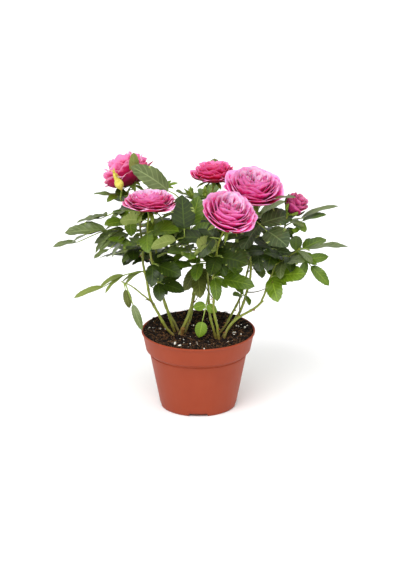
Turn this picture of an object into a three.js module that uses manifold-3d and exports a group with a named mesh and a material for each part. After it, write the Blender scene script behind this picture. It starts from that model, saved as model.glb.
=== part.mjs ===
// A miniature rose bush in bloom, growing in its own round nursery pot.
// Millimetres, +Z up. The origin is the centre of the flat underside of the pot,
// +X is the bush's right-hand side and -Y is its front.

import * as THREE from "three";
import { mergeVertices } from "three/addons/utils/BufferGeometryUtils.js";
import Module from "manifold-3d";

const wasm = await Module();
wasm.setup();

// ---- driving dimensions ----------------------------------------------------

const GAP = 0.3; // clear space kept between neighbouring pieces
const WELD = 1e-4; // points nearer than this are one point

const POT_HEIGHT = 83;
const POT_RIM_RADIUS = 60;
const POT_FOOT_RADIUS = 39.7;
const POT_WALL = 1.3;
const LIP_HEIGHT = 2.6;
const LIP_PROUD = 0.9; // how far the rolled lip stands out from the collar
const COLLAR_TOP_RADIUS = 58.6;
const COLLAR_FOOT_HEIGHT = 63.6;
const COLLAR_FOOT_RADIUS = 55.1;
const SHOULDER_HEIGHT = 59.2; // where the sloping step under the collar meets the body
const SHOULDER_RADIUS = 51.1;
const FOOT_ROUNDING = 1.6;
const FLOOR_TOP = 4.6;
const RECESS_DEPTH = 3; // drainage recess between the centre pad and the foot ring
const CENTRE_PAD_RADIUS = 15;
const FOOT_RING_WIDTH = 5;
const POT_FACETS = 40;
const NOTCH_COUNT = 4; // openings through the foot ring
const NOTCH_WIDTH = 21;
const DRAIN_HOLE_COUNT = 6;
const DRAIN_HOLE_RADIUS = 3.2;
const DRAIN_HOLE_FACETS = 10;
const DRAIN_CIRCLE_RADIUS = 24.5;

const SOIL_LEVEL = 78.6;
const SOIL_UNEVEN = 1.4;
const SOIL_FACETS = 24;
const SOIL_RINGS = [0.92, 0.72, 0.5, 0.26]; // shares of the soil's radius
const SOIL_LUMP = 11; // size of its lumps
const CLUMPS = [
  [-22, 0],
  [22, -12],
]; // middles of the two rooted cuttings
const CLUMP_FLAT_RADIUS = 14; // level soil round each clump

const LIMB_FACETS = 7;
const LIMB_STEPS = 8;
const STALK = 3; // clear length of leaf stalk between a limb and its leaves
const PAD_AROUND = 8;
const PAD_ALONG = 7;
const LEAF_LOBES = 0.22; // how unevenly a mass of leaves is wide, as a share
const LEAF_WAIST = 1.12; // width at its foot, and how much less it is at its tip
const LEAF_TAPER = 0.3;
const LEAF_ARCH = 0.35; // how far it arches up, as a share of its thickness
const BLOOM_AROUND = 14;
const BLOOM_DOWN = 8;
const BUD_SLIMNESS = 1.2; // a bloom narrower than this share of its depth is a bud
const ROSETTE_FULLNESS = 0.25; // how square the side of a rosette is
const ROSETTE_RIPPLE = 0.05;
const ROSETTE_CUP = 0.3; // how much wider it is below its middle

const LOOKS = {
  pot: { color: 0xb5553a, roughness: 0.55 },
  soil: { color: 0x2c2019, roughness: 0.95 },
  stem: { color: 0x7f9a38, roughness: 0.6 },
  leaf: { color: 0x3c5226, roughness: 0.5 },
  petal: { color: 0xdd6fa6, roughness: 0.7 },
};

// Blooms and large buds: middle, width, depth, and the way each one faces: a compass
// heading in degrees from +X towards +Y, and a tilt from upright.
const BLOOMS = {
  bloom_left_back: { at: [-74.5, 20, 252], wide: 55, deep: 33, heading: 140, tilt: 34 },
  bloom_left_front: { at: [-51, -35, 239], wide: 58, deep: 20, heading: 75, tilt: 4 },
  bloom_top: { at: [17, 46, 243], wide: 49, deep: 21, heading: 90, tilt: 5 },
  bloom_right: { at: [58, 8, 238.5], wide: 62, deep: 30, heading: 300, tilt: 17 },
  bloom_front: { at: [32, -48, 230], wide: 57, deep: 30, heading: 305, tilt: 27 },
  bud_right: { at: [102, -5, 224], wide: 25, deep: 24, heading: 340, tilt: 38 },
  bud_left: { at: [-84, -12, 254], wide: 10, deep: 26, heading: 195, tilt: 22 },
};

// Limbs: where each starts (a foot on the soil, or a limb and a height on it), where it
// ends (a point, or the bloom that it bears), how far it bows to one side, at what share
// of its length the bow is widest, and its radius at the start and at the end.
const LIMBS = {
  stem_left_outer: {
    foot: [-26.5, -6], bears: "bloom_left_back", bow: [-13, -4, 0], crest: 0.32, radii: [2.1, 1.3],
  },
  stem_left_inner: {
    foot: [-25, 3], bears: "bloom_left_front", bow: [-8, 4, 0], crest: 0.6, radii: [2, 1.3],
  },
  stem_left_upright: {
    foot: [-20, -4.5], bears: "bloom_top", bow: [5.5, -2, 0], crest: 0.2, radii: [2.5, 1.3],
  },
  stem_mid_left: {
    foot: [18.5, -16], end: [7, -4, 233], bow: [-4.5, 0, 0], crest: 0.24, radii: [1.9, 1],
  },
  stem_mid_right: {
    foot: [22, -20], bears: "bloom_front", bow: [-9, 6, 0], crest: 0.5, radii: [1.9, 1.3],
  },
  stem_right_low: {
    foot: [27, -16], end: [66, 0, 113.5], bow: [-3, 0, 6], crest: 0.3, radii: [2, 1.6],
  },
  stem_right_mid: {
    foot: [26, -9], bears: "bloom_right", bow: [16, 4, 0], crest: 0.36, radii: [2, 1.3],
  },
  stem_right_rise: {
    off: ["stem_right_low", 1], bears: "bud_right", bow: [2, 0, 0], crest: 0.3, radii: [1.5, 1],
  },
  stem_back_left: {
    foot: [-21, 8], end: [-50, 68, 196], bow: [-9, 2, 0], crest: 0.35, radii: [1.9, 1],
  },
  stem_back_centre: {
    foot: [-14, 1], end: [8, 80, 203], bow: [4, 0, 0], crest: 0.25, radii: [1.9, 1],
  },
  stem_back_right: {
    foot: [21, -5], end: [60, 66, 194], bow: [11, 8, -6], crest: 0.42, radii: [1.8, 1],
  },
  bough_left_low: {
    off: ["stem_left_outer", 0.23], end: [-78, -12, 140], bow: [0, 0, 2], crest: 0.5,
    radii: [1.2, 0.8],
  },
  bough_right_far: {
    off: ["stem_right_rise", 0.38], end: [104, -3, 173], bow: [3, 0, 1], crest: 0.5,
    radii: [1.1, 0.8],
  },
  bough_top_left: {
    off: ["stem_left_upright", 0.72], end: [-20, -7, 232], bow: [-2, 0, 4], crest: 0.5,
    radii: [1.1, 0.8],
  },
  bough_front: {
    off: ["stem_left_upright", 0.46], end: [-14, -33, 197], bow: [2, -5, -4], crest: 0.5,
    radii: [1.2, 0.8],
  },
};

// Masses of leaves, one to a spray: the limb that bears it and the share of that limb's
// length where it leaves, the tip of the furthest leaf, its width and its thickness, and,
// where it doesn't lie flat, the way its upper face looks.
const UP = [0, 0, 1];
const FORWARD = [0, -1, 0.3];
const HALF_FORWARD = [0, -0.65, 0.75];
const BACKWARD = [0, 0.5, 0.85];
const LEAF_MASSES = {
  leaves_far_left: { off: ["stem_left_outer", 0.7], tip: [-151, -8, 177], size: [27, 13] },
  leaves_left_high: { off: ["stem_left_outer", 0.82], tip: [-127, 14, 196], size: [30, 14] },
  leaves_left_top: { off: ["stem_left_outer", 0.9], tip: [-110, 20, 226], size: [20, 10] },
  leaves_left_mid: { off: ["stem_left_outer", 0.58], tip: [-103, -3, 163], size: [19, 11] },
  leaves_left_low: { off: ["stem_left_outer", 0.46], tip: [-129, -18, 124], size: [25, 13] },
  leaves_left_hanging: {
    off: ["bough_left_low", 1], tip: [-59, -30, 94], size: [17, 9], face: FORWARD,
  },
  leaves_left_front: {
    off: ["stem_left_outer", 0.6], tip: [-70, -46, 186], size: [32, 18], face: UP,
  },
  leaves_left_upright: {
    off: ["stem_left_outer", 0.93], tip: [-66, -12, 283], size: [15, 8], face: FORWARD,
  },
  leaves_top_left: {
    off: ["bough_top_left", 1], tip: [-70, -14, 267], size: [28, 12], face: HALF_FORWARD,
  },
  leaves_front_upright: {
    off: ["bough_front", 1], tip: [-13, -42, 247], size: [29, 9], face: FORWARD,
  },
  leaves_front_left: {
    off: ["stem_left_inner", 0.8], tip: [-22, -54, 205], size: [31, 15], face: HALF_FORWARD,
  },
  leaves_left_under: {
    off: ["stem_left_inner", 0.9], tip: [-80, -50, 221], size: [17, 8], face: BACKWARD,
  },
  leaves_front_centre: {
    off: ["bough_front", 0.6], tip: [-9, -62, 182], size: [34, 18], face: HALF_FORWARD,
  },
  leaves_centre_left: {
    off: ["stem_left_inner", 0.56], tip: [-18, -38, 156], size: [30, 16], face: HALF_FORWARD,
  },
  leaves_low_left: {
    off: ["stem_left_inner", 0.42], tip: [-15, -24, 134], size: [18, 10], face: HALF_FORWARD,
  },
  leaves_centre_low: {
    off: ["stem_left_upright", 0.5], tip: [-2, -28, 128], size: [23, 12], face: FORWARD,
  },
  leaves_mid_under: {
    off: ["stem_mid_right", 0.76], tip: [-3, -58, 189], size: [18, 10], face: BACKWARD,
  },
  leaves_low_centre: {
    off: ["stem_mid_left", 0.36], tip: [1, -28, 85], size: [16, 8], face: FORWARD,
  },
  leaves_right_low: {
    off: ["stem_mid_right", 0.52], tip: [58, -34, 143], size: [27, 14], face: HALF_FORWARD,
  },
  leaves_right_small: {
    off: ["stem_right_mid", 0.28], tip: [36, -20, 128], size: [10, 7], face: HALF_FORWARD,
  },
  leaves_right_bright: {
    off: ["stem_right_rise", 0.22], tip: [112, -20, 152], size: [25, 14], face: HALF_FORWARD,
  },
  leaves_right_mid: {
    off: ["stem_right_rise", 0.46], tip: [111, -26, 167], size: [24, 14], face: HALF_FORWARD,
  },
  leaves_far_right: { off: ["bough_right_far", 1], tip: [156, -2, 175], size: [24, 12] },
  leaves_right_hanging: {
    off: ["bough_right_far", 0.9], tip: [136, -12, 137], size: [17, 9], face: HALF_FORWARD,
  },
  leaves_right_high: { off: ["stem_right_rise", 0.86], tip: [146, 0, 219.5], size: [14, 8] },
  leaves_right_front: {
    off: ["stem_right_mid", 0.86], tip: [93, -44, 190], size: [38, 18], face: HALF_FORWARD,
  },
  leaves_right_top: {
    off: ["stem_right_mid", 0.95], tip: [101, -24, 237], size: [13, 8], face: UP,
  },
  leaves_front_low: {
    off: ["stem_mid_right", 0.7], tip: [52, -60, 176], size: [38, 20], face: HALF_FORWARD,
  },
  leaves_back_left_low: { off: ["stem_back_left", 0.58], tip: [-100, 66, 153], size: [38, 18] },
  leaves_back_left_high: { off: ["stem_back_left", 0.94], tip: [-92, 72, 204], size: [40, 20] },
  leaves_back_left: { off: ["stem_back_left", 0.76], tip: [-46, 112, 160], size: [40, 20] },
  leaves_back_centre: { off: ["stem_back_centre", 0.66], tip: [-6, 116, 150], size: [42, 20] },
  leaves_back_top: { off: ["stem_back_centre", 0.96], tip: [22, 114, 204], size: [44, 20] },
  leaves_back_right_low: { off: ["stem_back_right", 0.55], tip: [98, 80, 140], size: [38, 18] },
  leaves_back_right_high: { off: ["stem_back_right", 0.9], tip: [92, 74, 200], size: [44, 20] },
};

// ---- helpers -----------------------------------------------------------------

const vec = (p) => new THREE.Vector3(...p);

/** A geometry's faces with their shared vertices merged, so that the surface is closed. */
function closed(geometry) {
  const bare = geometry.clone();
  bare.deleteAttribute("normal");
  bare.deleteAttribute("uv");
  return mergeVertices(bare, WELD);
}

/** The closed geometry as a solid for joining and cutting. */
function solidOf(geometry) {
  const mesh = closed(geometry);
  const solid = new wasm.Mesh({
    numProp: 3,
    vertProperties: new Float32Array(mesh.attributes.position.array),
    triVerts: new Uint32Array(mesh.index.array),
  });
  return new wasm.Manifold(solid);
}

/** The geometry of a solid. */
function geometryOf(solid) {
  const mesh = solid.getMesh();
  const geometry = new THREE.BufferGeometry();
  geometry.setAttribute("position", new THREE.BufferAttribute(mesh.vertProperties, 3));
  geometry.setIndex(new THREE.BufferAttribute(mesh.triVerts, 1));
  const faceted = geometry.toNonIndexed();
  faceted.computeVertexNormals();
  return faceted;
}

/** Moves each vertex of a geometry to where the rule puts it. */
function reshape(geometry, rule) {
  const place = geometry.attributes.position;
  const point = new THREE.Vector3();
  for (let i = 0; i < place.count; i += 1) {
    point.fromBufferAttribute(place, i);
    rule(point);
    place.setXYZ(i, point.x, point.y, point.z);
  }
  return geometry;
}

/** A profile of [radius, height] points turned about the Z axis. */
function turned(profile, facets) {
  const points = profile.map(([radius, height]) => new THREE.Vector2(radius, height));
  return new THREE.LatheGeometry(points, facets).rotateX(Math.PI / 2);
}

/** A slow unevenness between -1 and 1 that differs from one seed to the next. */
function uneven(seed, a, b) {
  return (
    0.5 * Math.sin(2.1 * a + 1.7 * seed) * Math.cos(1.9 * b + 0.9 * seed) +
    0.5 * Math.sin(3.7 * a - 2.3 * seed + 2.6 * b)
  );
}

/** An unevenness between -1 and 1 that closes on itself round a full turn. */
function lobed(seed, angle) {
  return 0.6 * Math.sin(5 * angle + seed) + 0.4 * Math.sin(3 * angle - 2 * seed);
}

/** Unit vector of a compass heading and a tilt from upright, both in degrees. */
function facing(heading, tilt) {
  const h = THREE.MathUtils.degToRad(heading);
  const t = THREE.MathUtils.degToRad(tilt);
  return new THREE.Vector3(Math.sin(t) * Math.cos(h), Math.sin(t) * Math.sin(h), Math.cos(t));
}

// ---- pot and soil --------------------------------------------------------------

/** The wall's outside from the foot to the lip. */
function potOutside() {
  return [
    [POT_FOOT_RADIUS - FOOT_ROUNDING, 0],
    [POT_FOOT_RADIUS - 0.3 * FOOT_ROUNDING, 0.3 * FOOT_ROUNDING],
    [POT_FOOT_RADIUS + 0.2, FOOT_ROUNDING],
    [SHOULDER_RADIUS, SHOULDER_HEIGHT],
    [COLLAR_FOOT_RADIUS, COLLAR_FOOT_HEIGHT],
    [COLLAR_TOP_RADIUS, POT_HEIGHT - LIP_HEIGHT],
    [COLLAR_TOP_RADIUS + LIP_PROUD, POT_HEIGHT - 0.7 * LIP_HEIGHT],
    [POT_RIM_RADIUS, POT_HEIGHT - 0.2 * LIP_HEIGHT],
    [POT_RIM_RADIUS - 0.5, POT_HEIGHT],
  ];
}

/** The wall's inside from the lip down to the floor, drawn in by a clearance. */
function potInside(clearance) {
  const inset = POT_WALL + clearance;
  return [
    [COLLAR_TOP_RADIUS - inset, POT_HEIGHT],
    [COLLAR_FOOT_RADIUS - inset, COLLAR_FOOT_HEIGHT + POT_WALL],
    [SHOULDER_RADIUS - inset, SHOULDER_HEIGHT + POT_WALL],
    [POT_FOOT_RADIUS - inset + 0.4, FLOOR_TOP + clearance],
  ];
}

function pot() {
  const ringInner = POT_FOOT_RADIUS - FOOT_RING_WIDTH;
  const shell = solidOf(
    turned(
      [
        [0, 0],
        [CENTRE_PAD_RADIUS, 0],
        [CENTRE_PAD_RADIUS + 1, RECESS_DEPTH],
        [ringInner - 1, RECESS_DEPTH],
        [ringInner, 0],
        ...potOutside(),
        ...potInside(0),
        [0, FLOOR_TOP],
      ],
      POT_FACETS,
    ),
  );
  const cutters = [];
  for (let i = 0; i < NOTCH_COUNT; i += 1) {
    const notch = new THREE.BoxGeometry(3 * FOOT_RING_WIDTH, NOTCH_WIDTH, 2 * RECESS_DEPTH);
    notch.translate(POT_FOOT_RADIUS - 0.5 * FOOT_RING_WIDTH, 0, 0);
    notch.rotateZ((i * 2 * Math.PI) / NOTCH_COUNT);
    cutters.push(solidOf(notch));
  }
  for (let i = 0; i < DRAIN_HOLE_COUNT; i += 1) {
    const hole = new THREE.CylinderGeometry(
      DRAIN_HOLE_RADIUS,
      DRAIN_HOLE_RADIUS,
      4 * FLOOR_TOP,
      DRAIN_HOLE_FACETS,
    );
    hole.rotateX(Math.PI / 2);
    hole.translate(DRAIN_CIRCLE_RADIUS, 0, 0);
    hole.rotateZ(((i + 0.5) * 2 * Math.PI) / DRAIN_HOLE_COUNT);
    cutters.push(solidOf(hole));
  }
  return cutters.reduce((left, cutter) => left.subtract(cutter), shell);
}

/** Height of the soil: lumpy, and level round each clump. */
function soilHeight(x, y) {
  const near = CLUMPS.map(([cx, cy]) => Math.hypot(x - cx, y - cy) / CLUMP_FLAT_RADIUS);
  const away = THREE.MathUtils.smoothstep(Math.min(...near), 1, 2);
  return SOIL_LEVEL + SOIL_UNEVEN * away * uneven(3, x / SOIL_LUMP, y / SOIL_LUMP);
}

function soil() {
  const inside = potInside(GAP).reverse();
  const [rimRadius, rimHeight] = inside.pop();
  const [lastRadius, lastHeight] = inside[inside.length - 1];
  const share = (SOIL_LEVEL - lastHeight) / (rimHeight - lastHeight);
  const topRadius = lastRadius + share * (rimRadius - lastRadius) - SOIL_UNEVEN;
  const rings = SOIL_RINGS.map((part) => [part * topRadius, SOIL_LEVEL]);
  const profile = [[0, inside[0][1]], ...inside, [topRadius, SOIL_LEVEL], ...rings, [0, SOIL_LEVEL]];
  const block = turned(profile, SOIL_FACETS);
  const surface = (point) => {
    if (Math.abs(point.z - SOIL_LEVEL) < 1e-3) {
      point.z = soilHeight(point.x, point.y);
    }
  };
  return solidOf(reshape(block, surface));
}

// ---- blooms --------------------------------------------------------------------

/** A rounded, cupped rosette with a rippled edge; a bud is the same, narrow and plain. */
function bloom({ at, wide, deep, heading, tilt }, extra = 0) {
  const isBud = wide < deep * BUD_SLIMNESS;
  const radius = wide / 2 + extra;
  const half = deep / 2 + extra;
  const ball = new THREE.SphereGeometry(1, BLOOM_AROUND, BLOOM_DOWN).rotateX(Math.PI / 2);
  const turn = new THREE.Quaternion().setFromUnitVectors(vec(UP), facing(heading, tilt));
  const rosette = (point) => {
    const angle = Math.atan2(point.y, point.x);
    const out = Math.hypot(point.x, point.y);
    const fullness = isBud ? 1 : Math.pow(out, -ROSETTE_FULLNESS * Math.min(1, 4 * out));
    const ripple = isBud ? 1 : 1 + ROSETTE_RIPPLE * out * lobed(wide, angle);
    const cup = point.z < 0 ? 1 - ROSETTE_CUP * point.z * point.z : 1;
    point.x *= radius * fullness * ripple * cup;
    point.y *= radius * fullness * ripple * cup;
    point.z *= half;
    point.applyQuaternion(turn).add(vec(at));
  };
  return solidOf(reshape(ball, rosette));
}

/** The point just under a bloom where its stem ends. */
function bloomFoot({ at, deep, heading, tilt }) {
  return vec(at).addScaledVector(facing(heading, tilt), -(deep / 2 + 3 * GAP));
}

// ---- limbs ---------------------------------------------------------------------

/**
 * The line of a limb: straight from its start to its end, plus a bow that rises to its crest
 * and falls again.
 */
class LimbLine extends THREE.Curve {
  constructor(start, end, bow, crest) {
    super();
    this.start = start;
    this.end = end;
    this.bow = bow;
    this.crest = crest;
    this.rise = Math.max(1, crest / (1 - crest));
    this.fall = Math.max(1, (1 - crest) / crest);
  }

  getPoint(share, target = new THREE.Vector3()) {
    const rising = Math.pow(share / this.crest, this.rise);
    const swell = rising * Math.pow((1 - share) / (1 - this.crest), this.fall);
    return target.lerpVectors(this.start, this.end, share).addScaledVector(this.bow, swell);
  }
}

const lines = {};

/** The line of a named limb, worked out from its start and its end. */
function lineOf(name) {
  if (!lines[name]) {
    const limb = LIMBS[name];
    const end = limb.bears ? bloomFoot(BLOOMS[limb.bears]) : vec(limb.end);
    let start;
    if (limb.foot) {
      start = new THREE.Vector3(...limb.foot, SOIL_LEVEL + GAP);
    } else {
      start = pointOff(limb.off, end, limb.radii[0] + 6 * GAP);
    }
    lines[name] = new LimbLine(start, end, vec(limb.bow), limb.crest);
  }
  return lines[name];
}

/** Radius of a named limb at a share of its length. */
function radiusAt(name, share) {
  const [first, last] = LIMBS[name].radii;
  return THREE.MathUtils.lerp(first, last, share);
}

/** A point clear of a limb's bark, on the side that looks towards a target. */
function pointOff([name, share], target, clearance) {
  const point = lineOf(name).getPoint(share);
  const way = target.clone().sub(point).normalize();
  return point.addScaledVector(way, radiusAt(name, share) + clearance);
}

/** A tapering limb, cut level at the soil. */
function limb(name, extra = 0) {
  const line = lineOf(name);
  const frames = line.computeFrenetFrames(LIMB_STEPS, false);
  const tube = new THREE.CylinderGeometry(1, 1, 1, LIMB_FACETS, LIMB_STEPS);
  const carry = (point) => {
    const share = point.y + 0.5;
    const step = Math.round(share * LIMB_STEPS);
    const radius = radiusAt(name, share) + extra;
    const across = point.x * radius;
    const along = -point.z * radius;
    line.getPoint(share, point);
    point.addScaledVector(frames.normals[step], across);
    point.addScaledVector(frames.binormals[step], along);
    if (LIMBS[name].foot && step === 0) {
      point.z = SOIL_LEVEL + GAP;
    }
  };
  return solidOf(reshape(tube, carry));
}

// ---- masses of leaves ------------------------------------------------------------

/** A flattened, uneven pad from beside its limb to the tip of its furthest leaf. */
function leafMass({ off, tip, size, face = UP }, seed, extra = 0) {
  const [wide, thick] = size.map((measure) => measure + 2 * extra);
  const end = vec(tip);
  const start = pointOff(off, end, STALK);
  const axis = end.clone().sub(start);
  const reach = axis.length();
  axis.normalize();
  const upper = vec(face).addScaledVector(axis, -vec(face).dot(axis)).normalize();
  const side = new THREE.Vector3().crossVectors(axis, upper);
  const ball = new THREE.SphereGeometry(1, PAD_AROUND, PAD_ALONG);
  const spread = (point) => {
    const share = (point.y + 1) / 2;
    const lobes = 1 + LEAF_LOBES * uneven(seed, 5 * share, 2 * Math.sign(point.x));
    const waist = LEAF_WAIST - LEAF_TAPER * share;
    const across = 0.5 * wide * point.x * lobes * waist;
    const lift = 0.5 * thick * (point.z + LEAF_ARCH * Math.sin(Math.PI * share));
    point.copy(start).addScaledVector(axis, reach * share);
    point.addScaledVector(side, across).addScaledVector(upper, lift);
  };
  return solidOf(reshape(ball, spread));
}

/** The largest single body of a solid that cutting may have split. */
function largestBody(solid) {
  return solid.decompose().reduce((a, b) => (a.volume() >= b.volume() ? a : b));
}

// ---- the bush --------------------------------------------------------------------

const bush = new THREE.Group();

/** Adds one named piece with its own look. */
function add(name, solid, look) {
  const material = new THREE.MeshStandardMaterial({ ...look, metalness: 0 });
  const mesh = new THREE.Mesh(geometryOf(solid), material);
  mesh.name = name;
  bush.add(mesh);
}

add("pot", pot(), LOOKS.pot);
add("soil", soil(), LOOKS.soil);

const keepClear = [];

for (const [name, form] of Object.entries(BLOOMS)) {
  add(name, bloom(form), LOOKS.petal);
  keepClear.push(bloom(form, GAP));
}

for (const name of Object.keys(LIMBS)) {
  add(name, limb(name), LOOKS.stem);
  keepClear.push(limb(name, GAP));
}

Object.entries(LEAF_MASSES).forEach(([name, form], seed) => {
  const whole = leafMass(form, seed);
  const cut = largestBody(keepClear.reduce((left, other) => left.subtract(other), whole));
  add(name, cut, LOOKS.leaf);
  keepClear.push(leafMass(form, seed, GAP));
});

export default bush;
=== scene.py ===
"""A miniature rose bush in full bloom, growing in its own moulded nursery pot.

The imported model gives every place: the pot, the compost, each stem and bough, each mass of
leaves and each bloom. Here each of them is replaced by the finished piece that belongs there.
Lengths are in metres, +Z is up and -Y is the front of the bush.
"""

import math

import bpy
import numpy as np
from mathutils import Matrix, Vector


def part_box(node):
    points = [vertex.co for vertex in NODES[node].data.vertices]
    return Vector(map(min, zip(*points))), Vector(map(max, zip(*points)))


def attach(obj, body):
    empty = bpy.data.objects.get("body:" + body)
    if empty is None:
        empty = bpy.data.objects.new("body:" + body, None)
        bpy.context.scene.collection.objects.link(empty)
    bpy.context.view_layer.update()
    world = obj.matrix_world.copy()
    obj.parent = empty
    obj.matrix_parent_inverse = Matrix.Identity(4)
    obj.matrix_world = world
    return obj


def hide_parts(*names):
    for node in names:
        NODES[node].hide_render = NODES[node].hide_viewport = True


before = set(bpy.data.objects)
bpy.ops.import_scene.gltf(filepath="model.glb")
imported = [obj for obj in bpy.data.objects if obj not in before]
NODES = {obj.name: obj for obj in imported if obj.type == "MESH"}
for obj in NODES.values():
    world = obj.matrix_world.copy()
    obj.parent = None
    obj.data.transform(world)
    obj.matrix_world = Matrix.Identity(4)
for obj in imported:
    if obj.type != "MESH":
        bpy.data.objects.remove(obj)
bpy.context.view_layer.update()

MM = 0.001
GOLDEN_TURN = math.pi * (3 - math.sqrt(5))
RIM_CREASE = math.radians(100)


# ---- arrays, meshes and pieces ---------------------------------------------------------


def unit(vectors):
    """Vectors divided by their own length."""
    length = np.linalg.norm(vectors, axis=-1, keepdims=True)
    return vectors / np.maximum(length, 1e-12)


def ease(low, high, x):
    """0 below low, 1 above high, and the smooth cubic 3t^2 - 2t^3 between them."""
    t = np.clip((x - low) / (high - low), 0, 1)
    return t * t * (3 - 2 * t)


def quads(numbers):
    """Quads between the neighbours of a grid of point numbers, facing columns x rows."""
    corners = (numbers[:-1, :-1], numbers[:-1, 1:], numbers[1:, 1:], numbers[1:, :-1])
    return np.stack(corners, axis=-1).reshape(-1, 4)


def ring_numbers(rows, columns):
    """Point numbers of a grid whose last column is its first one again."""
    numbers = np.arange(rows * columns).reshape(rows, columns)
    return np.concatenate([numbers, numbers[:, :1]], axis=1)


def repeated(faces, copies, points_each):
    """The faces of one shape, renumbered for each of its copies in turn."""
    offsets = np.arange(copies)[:, None, None] * points_each
    return (faces[None] + offsets).reshape(-1, faces.shape[1])


def closed_rings(points):
    """The shape of a stack of rings, given as (rings, columns, 3), with a cap at each end."""
    numbers = ring_numbers(*points.shape[:2])
    caps = np.stack([numbers[0, :-1][::-1], numbers[-1, :-1]])
    return points.reshape(-1, 3), [quads(numbers), caps]


def shown(name, data):
    """A new object in the scene, at the origin."""
    made = bpy.data.objects.new(name, data)
    bpy.context.scene.collection.objects.link(made)
    return made


def piece(name, shape, finishes, nodes, finish_of_face=None, uv=None, crease=None):
    """Puts a shape into one mesh piece at the origin, which rides on the bush, stands for
    the given nodes and takes its finish from the given slot.

    The shape is its points and a list of arrays of faces, each with faces of one number of
    corners. finish_of_face numbers the finishes, one for each face in order. uv gives a place
    to each point. Shading is smooth, and breaks at edges that bend more than the crease angle.
    """
    points, face_sets = shape
    corners = np.concatenate([faces.ravel() for faces in face_sets]).astype(np.int32)
    sizes = np.concatenate([np.full(len(faces), faces.shape[1]) for faces in face_sets])
    mesh = bpy.data.meshes.new(name)
    mesh.vertices.add(len(points))
    mesh.vertices.foreach_set("co", np.ascontiguousarray(points, np.float32).ravel())
    mesh.loops.add(len(corners))
    mesh.loops.foreach_set("vertex_index", corners)
    mesh.polygons.add(len(sizes))
    mesh.polygons.foreach_set("loop_start", (np.cumsum(sizes) - sizes).astype(np.int32))
    for finish in finishes:
        mesh.materials.append(finish)
    if finish_of_face is not None:
        mesh.polygons.foreach_set("material_index", finish_of_face.astype(np.int32))
    mesh.polygons.foreach_set("use_smooth", np.ones(len(sizes), bool))
    if uv is not None:
        layer = mesh.uv_layers.new(name="surface")
        layer.data.foreach_set("uv", np.ascontiguousarray(uv[corners], np.float32).ravel())
    mesh.update(calc_edges=True)
    mesh.validate()
    if crease is not None:
        mesh.set_sharp_from_angle(angle=crease)
    made = shown(name, mesh)
    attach(made, "root")
    if nodes:
        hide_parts(*nodes)
    return made


def double_sheets(middle, thickness):
    """Closed thin sheets round middle surfaces, given as (sheets, rows, columns, 3).

    The upper skin is the middle moved out along its normal by half the thickness, the lower
    skin is the same the other way, and the two share the rim. Returns the points, the quads,
    and 0 for each upper and 1 for each lower quad.
    """
    count, rows, columns = middle.shape[:3]
    normal = unit(np.cross(np.gradient(middle, axis=2), np.gradient(middle, axis=1)))
    inside = np.zeros((rows, columns, 1))
    inside[1:-1, 1:-1] = 1
    upper = middle + normal * inside * thickness / 2
    lower = (middle - normal * thickness / 2)[:, 1:-1, 1:-1]
    points = np.concatenate([upper.reshape(count, -1, 3), lower.reshape(count, -1, 3)], axis=1)
    numbers = np.arange(rows * columns).reshape(rows, columns)
    under = numbers.copy()
    under[1:-1, 1:-1] = rows * columns + np.arange((rows - 2) * (columns - 2)).reshape(
        rows - 2, columns - 2
    )
    one = np.concatenate([quads(numbers), quads(under)[:, ::-1]])
    skins = np.repeat([0, 1], len(one) // 2)
    return points.reshape(-1, 3), repeated(one, count, points.shape[1]), np.tile(skins, count)


def sheet_uv(count, rows, columns):
    """For each point of double_sheets: its share across, and its share along, the sheet."""
    along, across = np.meshgrid(np.linspace(0, 1, rows), np.linspace(0, 1, columns), indexing="ij")
    grid = np.stack([across, along], axis=-1)
    one = np.concatenate([grid.reshape(-1, 2), grid[1:-1, 1:-1].reshape(-1, 2)])
    return np.tile(one, (count, 1))


def tubes(lines, radii, sides):
    """Round tubes along lines, given as (tubes, steps, 3), with a radius at each step.

    Each ring is a circle square to its line: centre + radius (cos a N + sin a B), where N is
    the fixed direction that the whole line leans on least, made square to the line's tangent.
    Returns the points, and the side quads and end caps.
    """
    count, steps = lines.shape[:2]
    tangent = unit(np.gradient(lines, axis=1))
    lean = np.abs(lines[:, -1] - lines[:, 0])
    least = np.eye(3)[np.argmin(lean, axis=1)][:, None, :]
    across = unit(least - (least * tangent).sum(-1, keepdims=True) * tangent)
    other = np.cross(tangent, across)
    angle = np.linspace(0, 2 * math.pi, sides, endpoint=False)[:, None]
    circle = np.cos(angle) * across[:, :, None] + np.sin(angle) * other[:, :, None]
    points = lines[:, :, None] + circle * radii[:, :, None, None]
    walls = repeated(quads(ring_numbers(steps, sides)), count, steps * sides)
    first = np.arange(sides)[None, ::-1]
    last = (steps - 1) * sides + np.arange(sides)[None]
    caps = repeated(np.concatenate([first, last]), count, steps * sides)
    return points.reshape(-1, 3), [walls, caps]


def curved(points, steps):
    """A smooth line through points, by Catmull and Rom's cubic, with even steps of share."""
    ends = np.concatenate([[2 * points[0] - points[1]], points, [2 * points[-1] - points[-2]]])
    share = np.linspace(0, len(points) - 1, steps)
    span = np.minimum(share.astype(int), len(points) - 2)
    t = (share - span)[:, None]
    a, b, c, d = (ends[span + k] for k in range(4))
    return b + 0.5 * t * (c - a + t * (2 * a - 5 * b + 4 * c - d + t * (3 * (b - c) + d - a)))


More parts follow.
